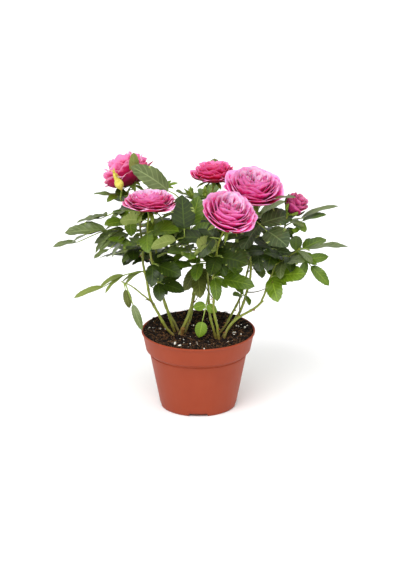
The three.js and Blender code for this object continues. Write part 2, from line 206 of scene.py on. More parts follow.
def lumps(centres, radii, flatness, roughness, rng):
    """Small irregular grains: spheres of four rings whose every point is pushed in or out."""
    rings, around = 4, 6
    tilt = np.linspace(0.5, rings - 0.5, rings)[:, None] * math.pi / rings
    turn = np.arange(around)[None] * 2 * math.pi / around
    ball = np.stack(
        [np.sin(tilt) * np.cos(turn), np.sin(tilt) * np.sin(turn), -np.cos(tilt) + 0 * turn],
        axis=-1,
    )
    count = len(centres)
    push = 1 + roughness * rng.uniform(-1, 1, (count, rings, around, 1))
    stretch = rng.uniform(0.65, 1.35, (count, 1, 1, 3)) * [1, 1, flatness]
    turned = rng.uniform(0, 2 * math.pi, count)[:, None, None]
    shape = ball * push * stretch * radii[:, None, None, None]
    x = shape[..., 0] * np.cos(turned) - shape[..., 1] * np.sin(turned)
    y = shape[..., 0] * np.sin(turned) + shape[..., 1] * np.cos(turned)
    points = np.stack([x, y, shape[..., 2]], axis=-1) + centres[:, None, None]
    size = rings * around
    walls = repeated(quads(ring_numbers(rings, around)), count, size)
    first = np.arange(around)[None, ::-1]
    caps = repeated(np.concatenate([first, size - around + np.arange(around)[None]]), count, size)
    return points.reshape(-1, 3), [walls, caps]


# ---- finishes --------------------------------------------------------------------------


def linear(hex_colour):
    """An sRGB hex colour as linear red, green, blue and 1."""
    parts = [int(hex_colour[k : k + 2], 16) / 255 for k in (1, 3, 5)]
    return [p / 12.92 if p <= 0.04045 else ((p + 0.055) / 1.055) ** 2.4 for p in parts] + [1]


def feed(node, inputs):
    """Gives each input a value, or links it to an output, or to a node's first output."""
    for name, value in inputs.items():
        if isinstance(value, bpy.types.Node):
            value = value.outputs[0]
        if isinstance(value, bpy.types.NodeSocket):
            node.id_data.links.new(value, node.inputs[name])
        else:
            node.inputs[name].default_value = value


def put(tree, kind, inputs=None, **settings):
    """Adds one shader node with its settings and links."""
    made = tree.nodes.new("ShaderNode" + kind)
    for name, value in settings.items():
        setattr(made, name, value)
    feed(made, inputs or {})
    return made


def finish(name, inputs):
    """A new material, its node tree and its Principled shader with those inputs set."""
    material = bpy.data.materials.new(name)
    material.use_nodes = True
    tree = material.node_tree
    shader = tree.nodes["Principled BSDF"]
    feed(shader, inputs)
    return material, tree, shader


def moulded_polypropylene():
    """Injection-moulded polypropylene, terracotta colour: a satin skin, faintly mottled,
    with the soft vertical drag marks that a pot gets as it leaves the mould."""
    material, tree, shader = finish(
        "moulded_polypropylene", {"IOR": 1.49, "Specular IOR Level": 0.3}
    )
    place = put(tree, "TexCoord")
    mottle = put(tree, "TexNoise", {"Vector": place.outputs["Object"], "Scale": 38, "Detail": 4})
    drawn = put(tree, "Mapping", {"Vector": place.outputs["Object"], "Scale": (260, 260, 14)})
    drag = put(tree, "TexNoise", {"Vector": drawn, "Scale": 1, "Detail": 3})
    warm = put(
        tree, "Mix", {0: mottle, 6: linear("#832F14"), 7: linear("#9C4020")}, data_type="RGBA"
    )
    worn = put(tree, "Mix", {0: drag, 6: warm.outputs[2], 7: linear("#913819")}, data_type="RGBA")
    gloss = put(tree, "MapRange", {"Value": drag, "To Min": 0.42, "To Max": 0.6})
    relief = put(tree, "Bump", {"Height": drag, "Strength": 0.12, "Distance": 0.2 * MM})
    feed(shader, {"Base Color": worn.outputs[2], "Roughness": gloss, "Normal": relief})
    return material


def speckled(name, dark, light, grain_mm, roughness, depth_mm):
    """A matt natural surface whose colour wanders between two tones over grains of one size,
    with relief on the same grains."""
    material, tree, shader = finish(
        name, {"Roughness": roughness, "IOR": 1.45, "Specular IOR Level": 0.3}
    )
    place = put(tree, "TexCoord")
    grain = put(
        tree,
        "TexNoise",
        {"Vector": place.outputs["Object"], "Scale": 1 / (grain_mm * MM), "Detail": 5},
    )
    tone = put(tree, "MapRange", {"Value": grain, "From Min": 0.32, "From Max": 0.68})
    colour = put(tree, "Mix", {0: tone, 6: linear(dark), 7: linear(light)}, data_type="RGBA")
    relief = put(tree, "Bump", {"Height": grain, "Strength": 0.6, "Distance": depth_mm * MM})
    feed(shader, {"Base Color": colour.outputs[2], "Normal": relief})
    return material


def young_bark():
    """Green rose bark: smooth and waxy, streaked along the stem, browner near the soil."""
    material, tree, shader = finish("young_bark", {"Roughness": 0.45, "IOR": 1.46})
    place = put(tree, "TexCoord")
    drawn = put(tree, "Mapping", {"Vector": place.outputs["Object"], "Scale": (700, 700, 90)})
    streak = put(tree, "TexNoise", {"Vector": drawn, "Scale": 1, "Detail": 3})
    green = put(
        tree, "Mix", {0: streak, 6: linear("#5A6618"), 7: linear("#9CA43C")}, data_type="RGBA"
    )
    height = put(tree, "SeparateXYZ", {0: place.outputs["Object"]})
    foot = put(
        tree,
        "MapRange",
        {
            "Value": height.outputs["Z"],
            "From Min": SOIL_TOP,
            "From Max": SOIL_TOP + 16 * MM,
            "To Min": 0.75,
            "To Max": 0,
        },
    )
    aged = put(tree, "Mix", {0: foot, 6: green.outputs[2], 7: linear("#6A4E24")}, data_type="RGBA")
    relief = put(tree, "Bump", {"Height": streak, "Strength": 0.35, "Distance": 0.15 * MM})
    feed(shader, {"Base Color": aged.outputs[2], "Normal": relief})
    return material


def leaf_skin(name, colour, vein, roughness, veins_out):
    """The skin of a rose leaflet: waxy and dark above, matt and pale below. A pale midrib and
    seven pairs of side veins, slanting forward, are drawn on the leaflet's own two shares."""
    material, tree, shader = finish(
        name, {"Roughness": roughness, "IOR": 1.45, "Specular IOR Level": 0.38}
    )
    place = put(tree, "UVMap", uv_map="surface")
    split = put(tree, "SeparateXYZ", {0: place})
    middle = put(tree, "Math", {0: split.outputs["X"], 1: 0.5}, operation="SUBTRACT")
    aside = put(tree, "Math", {0: middle}, operation="ABSOLUTE")
    midrib = put(tree, "MapRange", {"Value": aside, "From Max": 0.045, "To Min": 1, "To Max": 0})
    slant = put(tree, "Math", {0: aside, 1: -3.2}, operation="MULTIPLY")
    count = put(tree, "Math", {0: split.outputs["Y"], 1: 7.0, 2: slant}, operation="MULTIPLY_ADD")
    beat = put(tree, "Math", {0: count, 1: 0.5}, operation="PINGPONG")
    side_vein = put(
        tree, "MapRange", {"Value": beat, "From Max": 0.16, "To Min": 0.45, "To Max": 0}
    )
    lines = put(tree, "Math", {0: midrib, 1: side_vein}, operation="MAXIMUM")
    where = put(tree, "TexCoord")
    patch = put(tree, "TexNoise", {"Vector": where.outputs["Object"], "Scale": 90, "Detail": 3})
    tone = put(tree, "MapRange", {"Value": patch, "From Min": 0.3, "From Max": 0.7, "To Max": 0.35})
    blade = put(tree, "Mix", {0: tone, 6: linear(colour), 7: linear(vein)}, data_type="RGBA")
    veined = put(tree, "Mix", {0: lines, 6: blade.outputs[2], 7: linear(vein)}, data_type="RGBA")
    relief = put(tree, "Bump", {"Height": lines, "Strength": 0.5, "Distance": veins_out * MM})
    feed(shader, {"Base Color": veined.outputs[2], "Normal": relief})
    return material


def petal_skin(name, heart, body, edge):
    """A rose petal: a soft, velvety skin with fine veins that run up from its foot. The colour
    runs from the heart of the flower, through the body of the petal, to its edge. The heart
    colour at the foot is partly the petal's own darker base and partly painted shade for the
    gaps between the petals."""
    material, tree, shader = finish(
        name,
        {
            "Roughness": 0.65,
            "IOR": 1.3,
            "Sheen Weight": 0.06,
            "Sheen Roughness": 0.4,
            "Subsurface Weight": 0.35,
            "Subsurface Scale": 2.5 * MM,
        },
    )
    place = put(tree, "UVMap", uv_map="surface")
    split = put(tree, "SeparateXYZ", {0: place})
    where = put(tree, "TexCoord")
    patch = put(tree, "TexNoise", {"Vector": where.outputs["Object"], "Scale": 160, "Detail": 3})
    wander = put(tree, "Math", {0: patch, 1: 0.5, 2: split.outputs["Y"]}, operation="MULTIPLY_ADD")
    # Towards the foot of the petal the heart colour shows: partly its own darker base, partly
    # painted shade for the gaps between petals.
    low = put(tree, "MapRange", {"Value": wander, "From Min": 0.55, "From Max": 1.05})
    high = put(tree, "MapRange", {"Value": wander, "From Min": 1.05, "From Max": 1.2})
    inner = put(tree, "Mix", {0: low, 6: linear(heart), 7: linear(body)}, data_type="RGBA")
    outer = put(tree, "Mix", {0: high, 6: inner.outputs[2], 7: linear(edge)}, data_type="RGBA")
    rays = put(tree, "Mapping", {"Vector": place, "Scale": (42, 2.5, 1)})
    vein = put(tree, "TexNoise", {"Vector": rays, "Scale": 1, "Detail": 2})
    relief = put(tree, "Bump", {"Height": vein, "Strength": 0.3, "Distance": 0.3 * MM})
    feed(shader, {"Base Color": outer.outputs[2], "Normal": relief})
    return material


# ---- what the frame says ---------------------------------------------------------------

LIMB_NAMES = sorted(name for name in NODES if name.startswith(("stem_", "bough_")))
STEM_NAMES = [name for name in LIMB_NAMES if name.startswith("stem_")]
MASS_NAMES = sorted(name for name in NODES if name.startswith("leaves_"))
WELD = 1e-6
LIMB_FACETS = 7
LINE_STEPS = 60  # places along a limb's middle line


def welded(name):
    """A node's points with the repeated ones joined, and its triangles."""
    mesh = NODES[name].data
    points = np.zeros(len(mesh.vertices) * 3)
    mesh.vertices.foreach_get("co", points)
    mesh.calc_loop_triangles()
    corners = np.zeros(len(mesh.loop_triangles) * 3, np.int32)
    mesh.loop_triangles.foreach_get("vertices", corners)
    rounded = np.round(points.reshape(-1, 3) / WELD).astype(np.int64)
    _, first, numbers = np.unique(rounded, axis=0, return_index=True, return_inverse=True)
    return points.reshape(-1, 3)[first], numbers.reshape(-1)[corners].reshape(-1, 3)


def limb_line(name):
    """The middle points and radii of a limb, ring by ring from its lower end.

    The lower end's cap is a fan of triangles round one point. From there each ring is the
    set of points one edge further on.
    """
    points, triangles = welded(name)
    edges = np.concatenate([triangles[:, [0, 1]], triangles[:, [1, 2]], triangles[:, [2, 0]]])
    edges = np.unique(np.sort(edges, axis=1), axis=0)
    degree = np.bincount(edges.ravel())
    fans = np.flatnonzero(degree == LIMB_FACETS)
    start = fans[np.argmin(points[fans, 2])]
    seen = np.zeros(len(points), bool)
    seen[start] = True
    ring = seen.copy()
    centres, radii = [], []
    while True:
        touching = edges[ring[edges].any(axis=1)]
        ring = np.zeros(len(points), bool)
        ring[touching.ravel()] = True
        ring &= ~seen
        if ring.sum() < 3:
            break
        seen |= ring
        centres.append(points[ring].mean(axis=0))
        radii.append(np.linalg.norm(points[ring] - centres[-1], axis=1).mean())
    return np.array(centres), np.array(radii)


LIMBS = {name: limb_line(name) for name in LIMB_NAMES}
LIMB_POINTS = np.concatenate([curved(centres, LINE_STEPS) for centres, _ in LIMBS.values()])


def nearest_on_limbs(point, names=None):
    """The point of the limbs' middle lines that lies nearest to a point."""
    if names is None:
        choice = LIMB_POINTS
    else:
        choice = np.concatenate([curved(LIMBS[name][0], LINE_STEPS) for name in names])
    return choice[np.argmin(np.linalg.norm(choice - point, axis=1))]


TO_THE_LIGHT = np.array([0, -0.4, 1])


def mass_axes(name):
    """A mass of leaves as its foot, its tip, and its side and upward directions.

    The three directions are those in which its points spread most, next and least; the foot
    is the end that is nearer to a limb, and the upper side is the one towards the light.
    """
    points, _ = welded(name)
    middle = points.mean(axis=0)
    _, _, spread = np.linalg.svd(points - middle, full_matrices=False)
    along, _, upward = spread
    reach = (points - middle) @ along
    ends = middle + np.outer([reach.min(), reach.max()], along)
    gaps = [np.linalg.norm(nearest_on_limbs(end) - end) for end in ends]
    foot, tip = ends if gaps[0] <= gaps[1] else ends[::-1]
    upward = upward * (1 if upward @ TO_THE_LIGHT >= 0 else -1)
    along = unit(tip - foot)
    side = np.cross(along, upward)
    return foot, tip, side, upward


def bloom_axes(name):
    """A bloom's middle, the way it faces, its radius and its depth.

    A rosette is widest across its face, so it faces the way in which its points spread least;
    a bud is longer than it is wide, so it points the way in which its points spread most.
    """
    points, _ = welded(name)
    middle = (points.min(axis=0) + points.max(axis=0)) / 2
    _, _, spread = np.linalg.svd(points - points.mean(axis=0), full_matrices=False)
    facing = spread[2] if name.startswith("bloom_") else spread[0]
    facing = facing * (1 if facing[2] >= 0 else -1)
    reach = (points - middle) @ facing
    out = np.linalg.norm((points - middle) - np.outer(reach, facing), axis=1)
    return middle, facing, out.max(), reach.max() - reach.min()


# ---- pot and compost -------------------------------------------------------------------

POT_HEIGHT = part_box("pot")[1].z
RIM_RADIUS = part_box("pot")[1].x
SOIL_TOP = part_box("soil")[1].z
FOOT_RADIUS = 39.7 * MM
SHOULDER = (51.1 * MM, 59.2 * MM)  # radius and height where the body meets the step
COLLAR_FOOT = (55.1 * MM, 63.6 * MM)
COLLAR_TOP = (58.6 * MM, POT_HEIGHT - 2.6 * MM)
WALL = 1.3 * MM
FLOOR_TOP = 4.6 * MM
RECESS = 3 * MM
CENTRE_PAD_RADIUS = 15 * MM
FOOT_RING_WIDTH = 5 * MM
NOTCH_HALF_WIDTH = 10.5 * MM  # one notch at each end of the X and the Y axis
DRAIN_HOLES = 6
DRAIN_HOLE_RADIUS = 3.2 * MM
DRAIN_CIRCLE = 24.5 * MM
POT_COLUMNS = 288


def rounded_profile(corners, steps=4):
    """A profile whose corners, given as (radius, height, rounding), are turned into arcs:
    each corner becomes the quadratic curve between the points one rounding away from it."""
    outline = []
    last = len(corners) - 1
    for k, (radius, height, rounding) in enumerate(corners):
        corner = np.array([radius, height])
        if rounding == 0 or k in (0, last):
            outline.append(corner)
            continue
        before = corner + rounding * unit(np.array(corners[k - 1][:2]) - corner)
        after = corner + rounding * unit(np.array(corners[k + 1][:2]) - corner)
        for t in np.linspace(0, 1, steps):
            outline.append((1 - t) ** 2 * before + 2 * t * (1 - t) * corner + t**2 * after)
    return np.array(outline)


def filled_in(profile, longest):
    """The profile with extra points, so that no step is longer than the given length."""
    parts = [profile[:1]]
    for a, b in zip(profile[:-1], profile[1:]):
        steps = max(1, math.ceil(np.linalg.norm(b - a) / longest))
        parts.append(a + (b - a) * (np.arange(1, steps + 1) / steps)[:, None])
    return np.concatenate(parts)


def turned(profile, columns):
    """A profile of (radius, height) carried round the Z axis: (r cos a, r sin a, h)."""
    angle = np.linspace(0, 2 * math.pi, columns, endpoint=False)
    radius, height = profile[:, :1], profile[:, 1:]
    return np.stack([radius * np.cos(angle), radius * np.sin(angle), height + 0 * angle], axis=-1)


def nursery_pot():
    """The pot: one closed profile turned about its axis. The wall leans out to a fine groove,
    a sloping step, a collar and a rolled lip. Under the foot ring each notch lifts the lowest
    points by a smooth step of their distance from the notch's middle line."""
    ring = FOOT_RADIUS - FOOT_RING_WIDTH
    lip = POT_HEIGHT
    inner_collar = COLLAR_TOP[0] - WALL
    corners = [
        (0.5 * MM, 0, 0),
        (CENTRE_PAD_RADIUS, 0, 0.6 * MM),
        (CENTRE_PAD_RADIUS + 1 * MM, RECESS, 0.5 * MM),
        (ring - 1 * MM, RECESS, 0.5 * MM),
        (ring, 0, 0.6 * MM),
        (FOOT_RADIUS, 0, 1.8 * MM),
        (SHOULDER[0] - 0.1 * MM, SHOULDER[1] - 1.4 * MM, 0.2 * MM),
        (SHOULDER[0] - 0.9 * MM, SHOULDER[1] - 0.5 * MM, 0.3 * MM),
        (COLLAR_FOOT[0], COLLAR_FOOT[1] - 0.6 * MM, 0.6 * MM),
        (COLLAR_TOP[0], COLLAR_TOP[1], 0.4 * MM),
        (RIM_RADIUS - 0.2 * MM, lip - 2.1 * MM, 0.5 * MM),
        (RIM_RADIUS, lip, 0.8 * MM),
        (RIM_RADIUS - 1.7 * MM, lip, 0.6 * MM),
        (inner_collar, lip - 5 * MM, 1.5 * MM),
        (COLLAR_FOOT[0] - WALL, COLLAR_FOOT[1] + WALL, 0.9 * MM),
        (SHOULDER[0] - WALL, SHOULDER[1] + WALL, 0.9 * MM),
        (FOOT_RADIUS - WALL + 0.4 * MM, FLOOR_TOP, 0.8 * MM),
        (0.5 * MM, FLOOR_TOP, 0),
    ]
    profile = filled_in(rounded_profile(corners), 3 * MM)
    points = turned(profile, POT_COLUMNS)
    x, y, z = points[..., 0], points[..., 1], points[..., 2]
    aside = np.minimum(np.abs(x), np.abs(y))
    on_ring = np.hypot(x, y) > ring - 2 * MM
    lifted = (1 - ease(NOTCH_HALF_WIDTH - 1.6 * MM, NOTCH_HALF_WIDTH + 0.4 * MM, aside)) * on_ring
    points[..., 2] = np.maximum(z, RECESS * 0.98 * lifted)
    shape = closed_rings(points)
    drill(piece("nursery_pot", shape, [moulded_polypropylene()], ["pot"]))


def drill(pot):
    """Cuts the drain holes: round cutters on a circle, taken away from the pot."""
    angle = (np.arange(DRAIN_HOLES) + 0.5) * 2 * math.pi / DRAIN_HOLES
    feet = np.stack([np.cos(angle), np.sin(angle), 0 * angle], axis=-1) * DRAIN_CIRCLE
    low = feet - [0, 0, 2 * MM]
    high = feet + [0, 0, 3 * FLOOR_TOP]
    lines = np.stack([low, high], axis=1)
    shape = tubes(lines, np.full((DRAIN_HOLES, 2), DRAIN_HOLE_RADIUS), 20)
    cutter = piece("drain_cutters", shape, [], [])
    cut = pot.modifiers.new("drain", "BOOLEAN")
    cut.object = cutter
    cut.solver = "EXACT"
    settled(pot)
    bpy.data.objects.remove(cutter)


def settled(made):
    """Keeps what a piece's modifiers give as its own mesh."""
    graph = bpy.context.evaluated_depsgraph_get()
    mesh = bpy.data.meshes.new_from_object(made.evaluated_get(graph))
    made.modifiers.clear()
    made.data = mesh


SOIL_MARGIN = 1.9 * MM  # from the outside of the lip to the edge of the compost
SOIL_ROWS = 90
SOIL_COLUMNS = 220
CRUMBS = 3600
FIBRES = 520
PERLITE_GRAINS = 80


def rolling(x, y, seed):
    """A slow unevenness between about -1 and 1: a sum of waves of several sizes and ways."""
    rng = np.random.default_rng(seed)
    total = 0 * x
    for size in (22, 13, 8, 5, 3.2, 2.1):
        for _ in range(4):
            way, shift = rng.uniform(0, 2 * math.pi, 2)
            along = x * math.cos(way) + y * math.sin(way)
            wave = np.sin(along * 2 * math.pi / (size * MM) + shift)
            total = total + wave * (size / 22) ** 0.8
    return total / 4


def soil_height(x, y):
    """The compost's height: rolling lumps, level at the stems and banked up to the rim, where
    it stands highest at the back."""
    out = np.hypot(x, y)
    bank = ease(30 * MM, 55 * MM, out) * (2.2 * MM + 2.6 * MM * ease(-20 * MM, 50 * MM, y))
    return SOIL_TOP - 1.2 * MM + 1.0 * MM * rolling(x, y, 4) + bank


def compost():
    """Peat compost: a disc of polar rings whose height is soil_height, closed by a side and a
    floor inside the pot, and on it, joined by kind, crumbs, fibres and grains of perlite."""
    radius = RIM_RADIUS - SOIL_MARGIN
    share = np.linspace(0.004, 1, SOIL_ROWS)[:, None] ** 0.7
    angle = np.linspace(0, 2 * math.pi, SOIL_COLUMNS, endpoint=False)
    x, y = share * radius * np.cos(angle), share * radius * np.sin(angle)
    top = np.stack([x, y, soil_height(x, y)], axis=-1)[::-1]
    under = []
    for wide, depth in ((0.15, 24 * MM), (0.8, 24 * MM), (0.9, 14 * MM), (0.965, 4 * MM)):
        row = wide * top[0]
        row[:, 2] = SOIL_TOP - depth
        under.append(row)
    points = np.concatenate([np.array(under), top])
    bed_finish = speckled("damp_peat", "#080402", "#22140C", 1.4, 0.9, 1.0)
    piece("compost", closed_rings(points), [bed_finish], ["soil"])

    rng = np.random.default_rng(11)

    def scattered(count, inside=0.985):
        out = np.sqrt(rng.uniform(0, 1, count)) * inside * radius
        way = rng.uniform(0, 2 * math.pi, count)
        spots = np.stack([out * np.cos(way), out * np.sin(way)], axis=-1)
        return spots, soil_height(spots[:, 0], spots[:, 1])

    spots, height = scattered(CRUMBS)
    size = 0.4 * MM + 1.5 * MM * rng.uniform(0, 1, len(spots)) ** 5
    centres = np.column_stack([spots, height + 0.3 * size])
    shape = lumps(centres, size, 0.7, 0.45, rng)
    each = len(shape[1][0]) // len(spots)
    tone = rng.choice(3, len(spots), p=[0.55, 0.33, 0.12])
    finishes = [
        speckled("peat_crumb_dark", "#080402", "#1C100A", 0.9, 0.9, 0.4),
        speckled("peat_crumb_brown", "#140A06", "#301C12", 0.9, 0.9, 0.4),
        speckled("bark_crumb", "#281608", "#5C3C24", 1.1, 0.85, 0.4),
    ]
    tone_of_face = np.concatenate([np.repeat(tone, each), np.repeat(tone, 2)])
    piece("compost_crumbs", shape, finishes, ["soil"], tone_of_face)

    spots, height = scattered(FIBRES)
    way = rng.uniform(0, 2 * math.pi, len(spots))
    length = rng.uniform(3, 9, len(spots)) * MM
    lift = rng.uniform(0.2, 2.2, len(spots)) * MM
    t = np.linspace(-1, 1, 7)
    bend = rng.uniform(-0.35, 0.35, len(spots))[:, None] * length[:, None]
    forward = t * length[:, None] / 2
    aside = bend * (t**2 - 0.5)
    x = spots[:, :1] + forward * np.cos(way)[:, None] - aside * np.sin(way)[:, None]
    y = spots[:, 1:] + forward * np.sin(way)[:, None] + aside * np.cos(way)[:, None]
    pull = np.minimum(1, 0.98 * radius / np.hypot(x, y))
    z = height[:, None] + 0.5 * MM + lift[:, None] * (1 - t**2)
    lines = np.stack([x * pull, y * pull, z], axis=-1)
    thick = rng.uniform(0.12, 0.32, len(spots))[:, None] * MM * (1 - 0.6 * t**2)
    fibre_finish = speckled("peat_fibre", "#2C1A0E", "#8C6440", 2.0, 0.85, 0.1)
    piece("compost_fibres", tubes(lines, thick, 4), [fibre_finish], ["soil"])

    spots, height = scattered(PERLITE_GRAINS, 0.93)
    size = 0.35 * MM + 1.5 * MM * rng.uniform(0, 1, len(spots)) ** 5
    centres = np.column_stack([spots, height + 0.5 * size + 0.3 * MM])
    shape = lumps(centres, size, 0.8, 0.28, rng)
    grain_finish = speckled("perlite", "#D9D3C6", "#FBF8F0", 0.8, 0.85, 0.2)
    piece("compost_perlite", shape, [grain_finish], ["soil"], crease=RIM_CREASE / 3)


# ---- stems -----------------------------------------------------------------------------

NODE_SPACING = 19 * MM
STEM_SIDES = 14
STEM_SLENDER = 0.74  # between its joints a stem is a little thinner than its solid
STEM_STEP = 1.1 * MM
JOINT_SWELL = 0.3
JOINT_REACH = 1.3 * MM
ZIGZAG = 1.6 * MM
PRICKLES_PER_STEM = 7
PRICKLE_RADII = np.array([0.95, 0.6, 0.36, 0.18, 0.04]) * MM


def stems(bark):
    """Each stem and bough: a round tube along the limb's line. At every bud joint the radius
    swells by a narrow bell curve, and between joints the line zigzags by a triangle wave."""
    for index, (name, (centres, radii)) in enumerate(LIMBS.items()):
        rng = np.random.default_rng(200 + index)
        way = unit(centres[1] - centres[0])
        end_way = unit(centres[-1] - centres[-2])
        if name in STEM_NAMES and name != "stem_right_rise":
            start = centres[0] - way * 4 * MM
        else:
            others = [other for other in LIMB_NAMES if other != name]
            start = nearest_on_limbs(centres[0], others)
        path = np.concatenate([[start], centres, [centres[-1] + end_way * 3 * MM]])
        widths = STEM_SLENDER * np.concatenate([radii[:1], radii, radii[-1:]])
        steps = max(24, int(np.linalg.norm(path[-1] - path[0]) / STEM_STEP))
        line = curved(path, steps)
        radius = np.interp(np.linspace(0, 1, steps), np.linspace(0, 1, len(widths)), widths)
        walked = np.concatenate([[0], np.cumsum(np.linalg.norm(np.diff(line, axis=0), axis=1))])
        phase = rng.uniform(0.2, 0.8) * NODE_SPACING
        beat = (walked + phase) / NODE_SPACING
        off_joint = np.abs(beat - np.round(beat)) * NODE_SPACING
        radius = radius * (1 + JOINT_SWELL * np.exp(-((off_joint / JOINT_REACH) ** 2)))
        radius = radius * (1 + 0.04 * np.sin(walked * 1100 + index))
        sway = np.abs((beat + 0.5) % 2 - 1) - 0.5
        aside = unit(np.cross(way, [math.cos(index), math.sin(index), 0.1]))
        fade = ease(0, 12 * MM, walked) * ease(0, 12 * MM, walked[-1] - walked)
        line = line + aside * (sway * fade * ZIGZAG)[:, None]
        shape = tubes(line[None], radius[None], STEM_SIDES)
        piece(name + "_bark", shape, [bark], [name])


def prickles(finish_of_prickle):
    """Short hooked prickles: narrow cones whose line leaves the stem square to it and bends
    down, seeded along most of every stem."""
    rng = np.random.default_rng(31)
    lines, radii = [], []
    for name in STEM_NAMES:
        centres, widths = LIMBS[name]
        line = curved(centres, 80)
        last = len(line) - 1
        for share in rng.uniform(0.04, 0.85, PRICKLES_PER_STEM):
            k = int(share * last)
            way = unit(line[min(k + 1, last)] - line[max(k - 1, 0)])
            turn = rng.uniform(0, 2 * math.pi)
            flat = np.array([math.cos(turn), math.sin(turn), 0])
            out = unit(flat - (flat @ way) * way)
            width = np.interp(share, [0, 1], [widths[0], widths[-1]])
            long = rng.uniform(2.0, 3.2) * MM
            t = np.linspace(0, 1, len(PRICKLE_RADII))[:, None]
            root = line[k] + out * width * 0.8
            lines.append(root + out * long * t - way * long * 0.45 * t**2)
            radii.append(PRICKLE_RADII)
    shape = tubes(np.array(lines), np.array(radii), 6)
    piece("prickles", shape, [finish_of_prickle], ["stem_left_outer"])


TWIG_LOW, TWIG_HIGH = 92 * MM, 150 * MM
TWIGS = 14


def twigs():
    """Thin bare twigs, woody and dark: arched tapering tubes that leave the stems at seeded
    heights under the leaves, and slant upward."""
    rng = np.random.default_rng(41)
    lines, radii = [], []
    for k in range(TWIGS):
        line = curved(LIMBS[STEM_NAMES[k % len(STEM_NAMES)]][0], 80)
        low = line[(line[:, 2] > TWIG_LOW) & (line[:, 2] < TWIG_HIGH)]
        if len(low) == 0:
            continue
        foot = low[int(rng.uniform(0, 0.999) * len(low))]
        turn = rng.uniform(0, 2 * math.pi)
        way = np.array([math.cos(turn), math.sin(turn), rng.uniform(0.3, 1.1)])
        reach = rng.uniform(14, 30) * MM
        t = np.linspace(0, 1, 9)[:, None]
        arch = np.array([0, 0, rng.uniform(-0.25, 0.25)]) * reach
        lines.append(foot + unit(way) * reach * t + arch * t * (1 - t) * 4)
        radii.append(np.linspace(0.7, 0.35, 9) * MM)
    wood = speckled("twig_wood", "#3A2C12", "#6E6A2C", 2.0, 0.6, 0.1)
    piece("twigs", tubes(np.array(lines), np.array(radii), 6), [wood], STEM_NAMES)


def stub():
    """The short woody stub of an older stem that was cut away: a knobbly tube beside the foot
    of the left upright stem, with a swollen reddish joint at its top."""
    centres, radii = LIMBS["stem_left_upright"]
    foot = centres[0] + np.array([2.2, -3.4, -3.5]) * MM
    t = np.linspace(0, 1, 16)[:, None]
    line = foot + np.array([2.0, -0.5, 13.5]) * MM * t
    swell = 1 + 0.35 * np.exp(-(((t[:, 0] - 0.8) / 0.12) ** 2)) + 0.08 * np.sin(t[:, 0] * 23)
    widths = radii[0] * 0.85 * swell
    widths[-1] = 0.5 * widths[-2]
    shape = tubes(line[None], widths[None], 12)
    wood = speckled("old_wood", "#5A3418", "#8A7034", 1.6, 0.7, 0.4)
    piece("cut_stub", shape, [wood], ["stem_left_upright"])


# ---- leaves ----------------------------------------------------------------------------

LEAFLET_ROWS = 16
LEAFLET_COLUMNS = 5
LEAF_THICKNESS = 0.45 * MM
STALK_STEPS = 10
STALK_ARCH = 0.1  # the height of a stalk's arch as a share of its length
PAIR_SPACING = 0.75  # between pairs of leaflets, as a share of the end leaflet's length
PAIR_TAPER = 0.12  # how much shorter each next pair towards the foot is
SCALARS = ("length", "width", "fold", "curl", "wave", "twist", "phase")
BLUNT, SHARP = 0.55, 0.7  # the powers that shape a leaflet's outline at its foot and tip
TOOTH_OUT, TOOTH_FORWARD = 0.03, 0.008


def leaflets(spec):
    """The middle surfaces of many leaflets at once.

    Along the midrib, which bends by an even curve, the half width is the product of a power
    of s and a power of 1 - s, scaled to its greatest value, so that it is round at the foot
    and pointed at the tip. The two halves lift from the midrib by the fold, the margin waves, and
    every second margin point stands out and forward as a tooth.
    """
    column = {key: spec[key][:, None, None] for key in SCALARS}
    share = np.linspace(0, 1, LEAFLET_ROWS)[None, :, None]
    across = np.linspace(-1, 1, LEAFLET_COLUMNS)[None, None, :]
    widest = BLUNT / (BLUNT + SHARP)
    peak = widest**BLUNT * (1 - widest) ** SHARP
    half = (share**BLUNT * (1 - share) ** SHARP / peak) * column["width"] / 2
    half = np.maximum(half, 0.25 * MM)
    margin = (np.abs(across) > 0.99) & (share > 0.05) & (share < 0.95)
    tooth = margin * np.where(np.arange(LEAFLET_ROWS) % 2, 1, -1)[None, :, None]
    half = half * (1 + TOOTH_OUT * tooth)
    along = share + TOOTH_FORWARD * tooth
    bend = column["curl"]
    angle = bend * along
    forward = column["length"] * np.sin(angle) / bend
    drop = -column["length"] * (1 - np.cos(angle)) / bend
    fold = column["fold"] * (1 - 0.45 * share)
    side = half * across * np.cos(fold)
    lift = half * np.abs(across) * np.sin(fold)
    wave = np.sin(2 * math.pi * 1.9 * share + column["phase"] + 1.4 * np.sign(across))
    lift = lift + column["wave"] * column["width"] * across**2 * wave * np.sin(math.pi * share)
    twist = column["twist"] * share
    side, lift = (
        side * np.cos(twist) - lift * np.sin(twist),
        side * np.sin(twist) + lift * np.cos(twist),
    )
    forward = forward + lift * np.sin(angle)
    upward = drop + lift * np.cos(angle)
    way = unit(spec["way"])
    up = unit(spec["up"] - (spec["up"] * way).sum(-1, keepdims=True) * way)
    right = np.cross(way, up)
    axes = [axis[:, None, None, :] for axis in (right, way, up)]
    local = [part[..., None] for part in np.broadcast_arrays(side, forward, upward)]
    return spec["foot"][:, None, None, :] + sum(p * axis for p, axis in zip(local, axes))


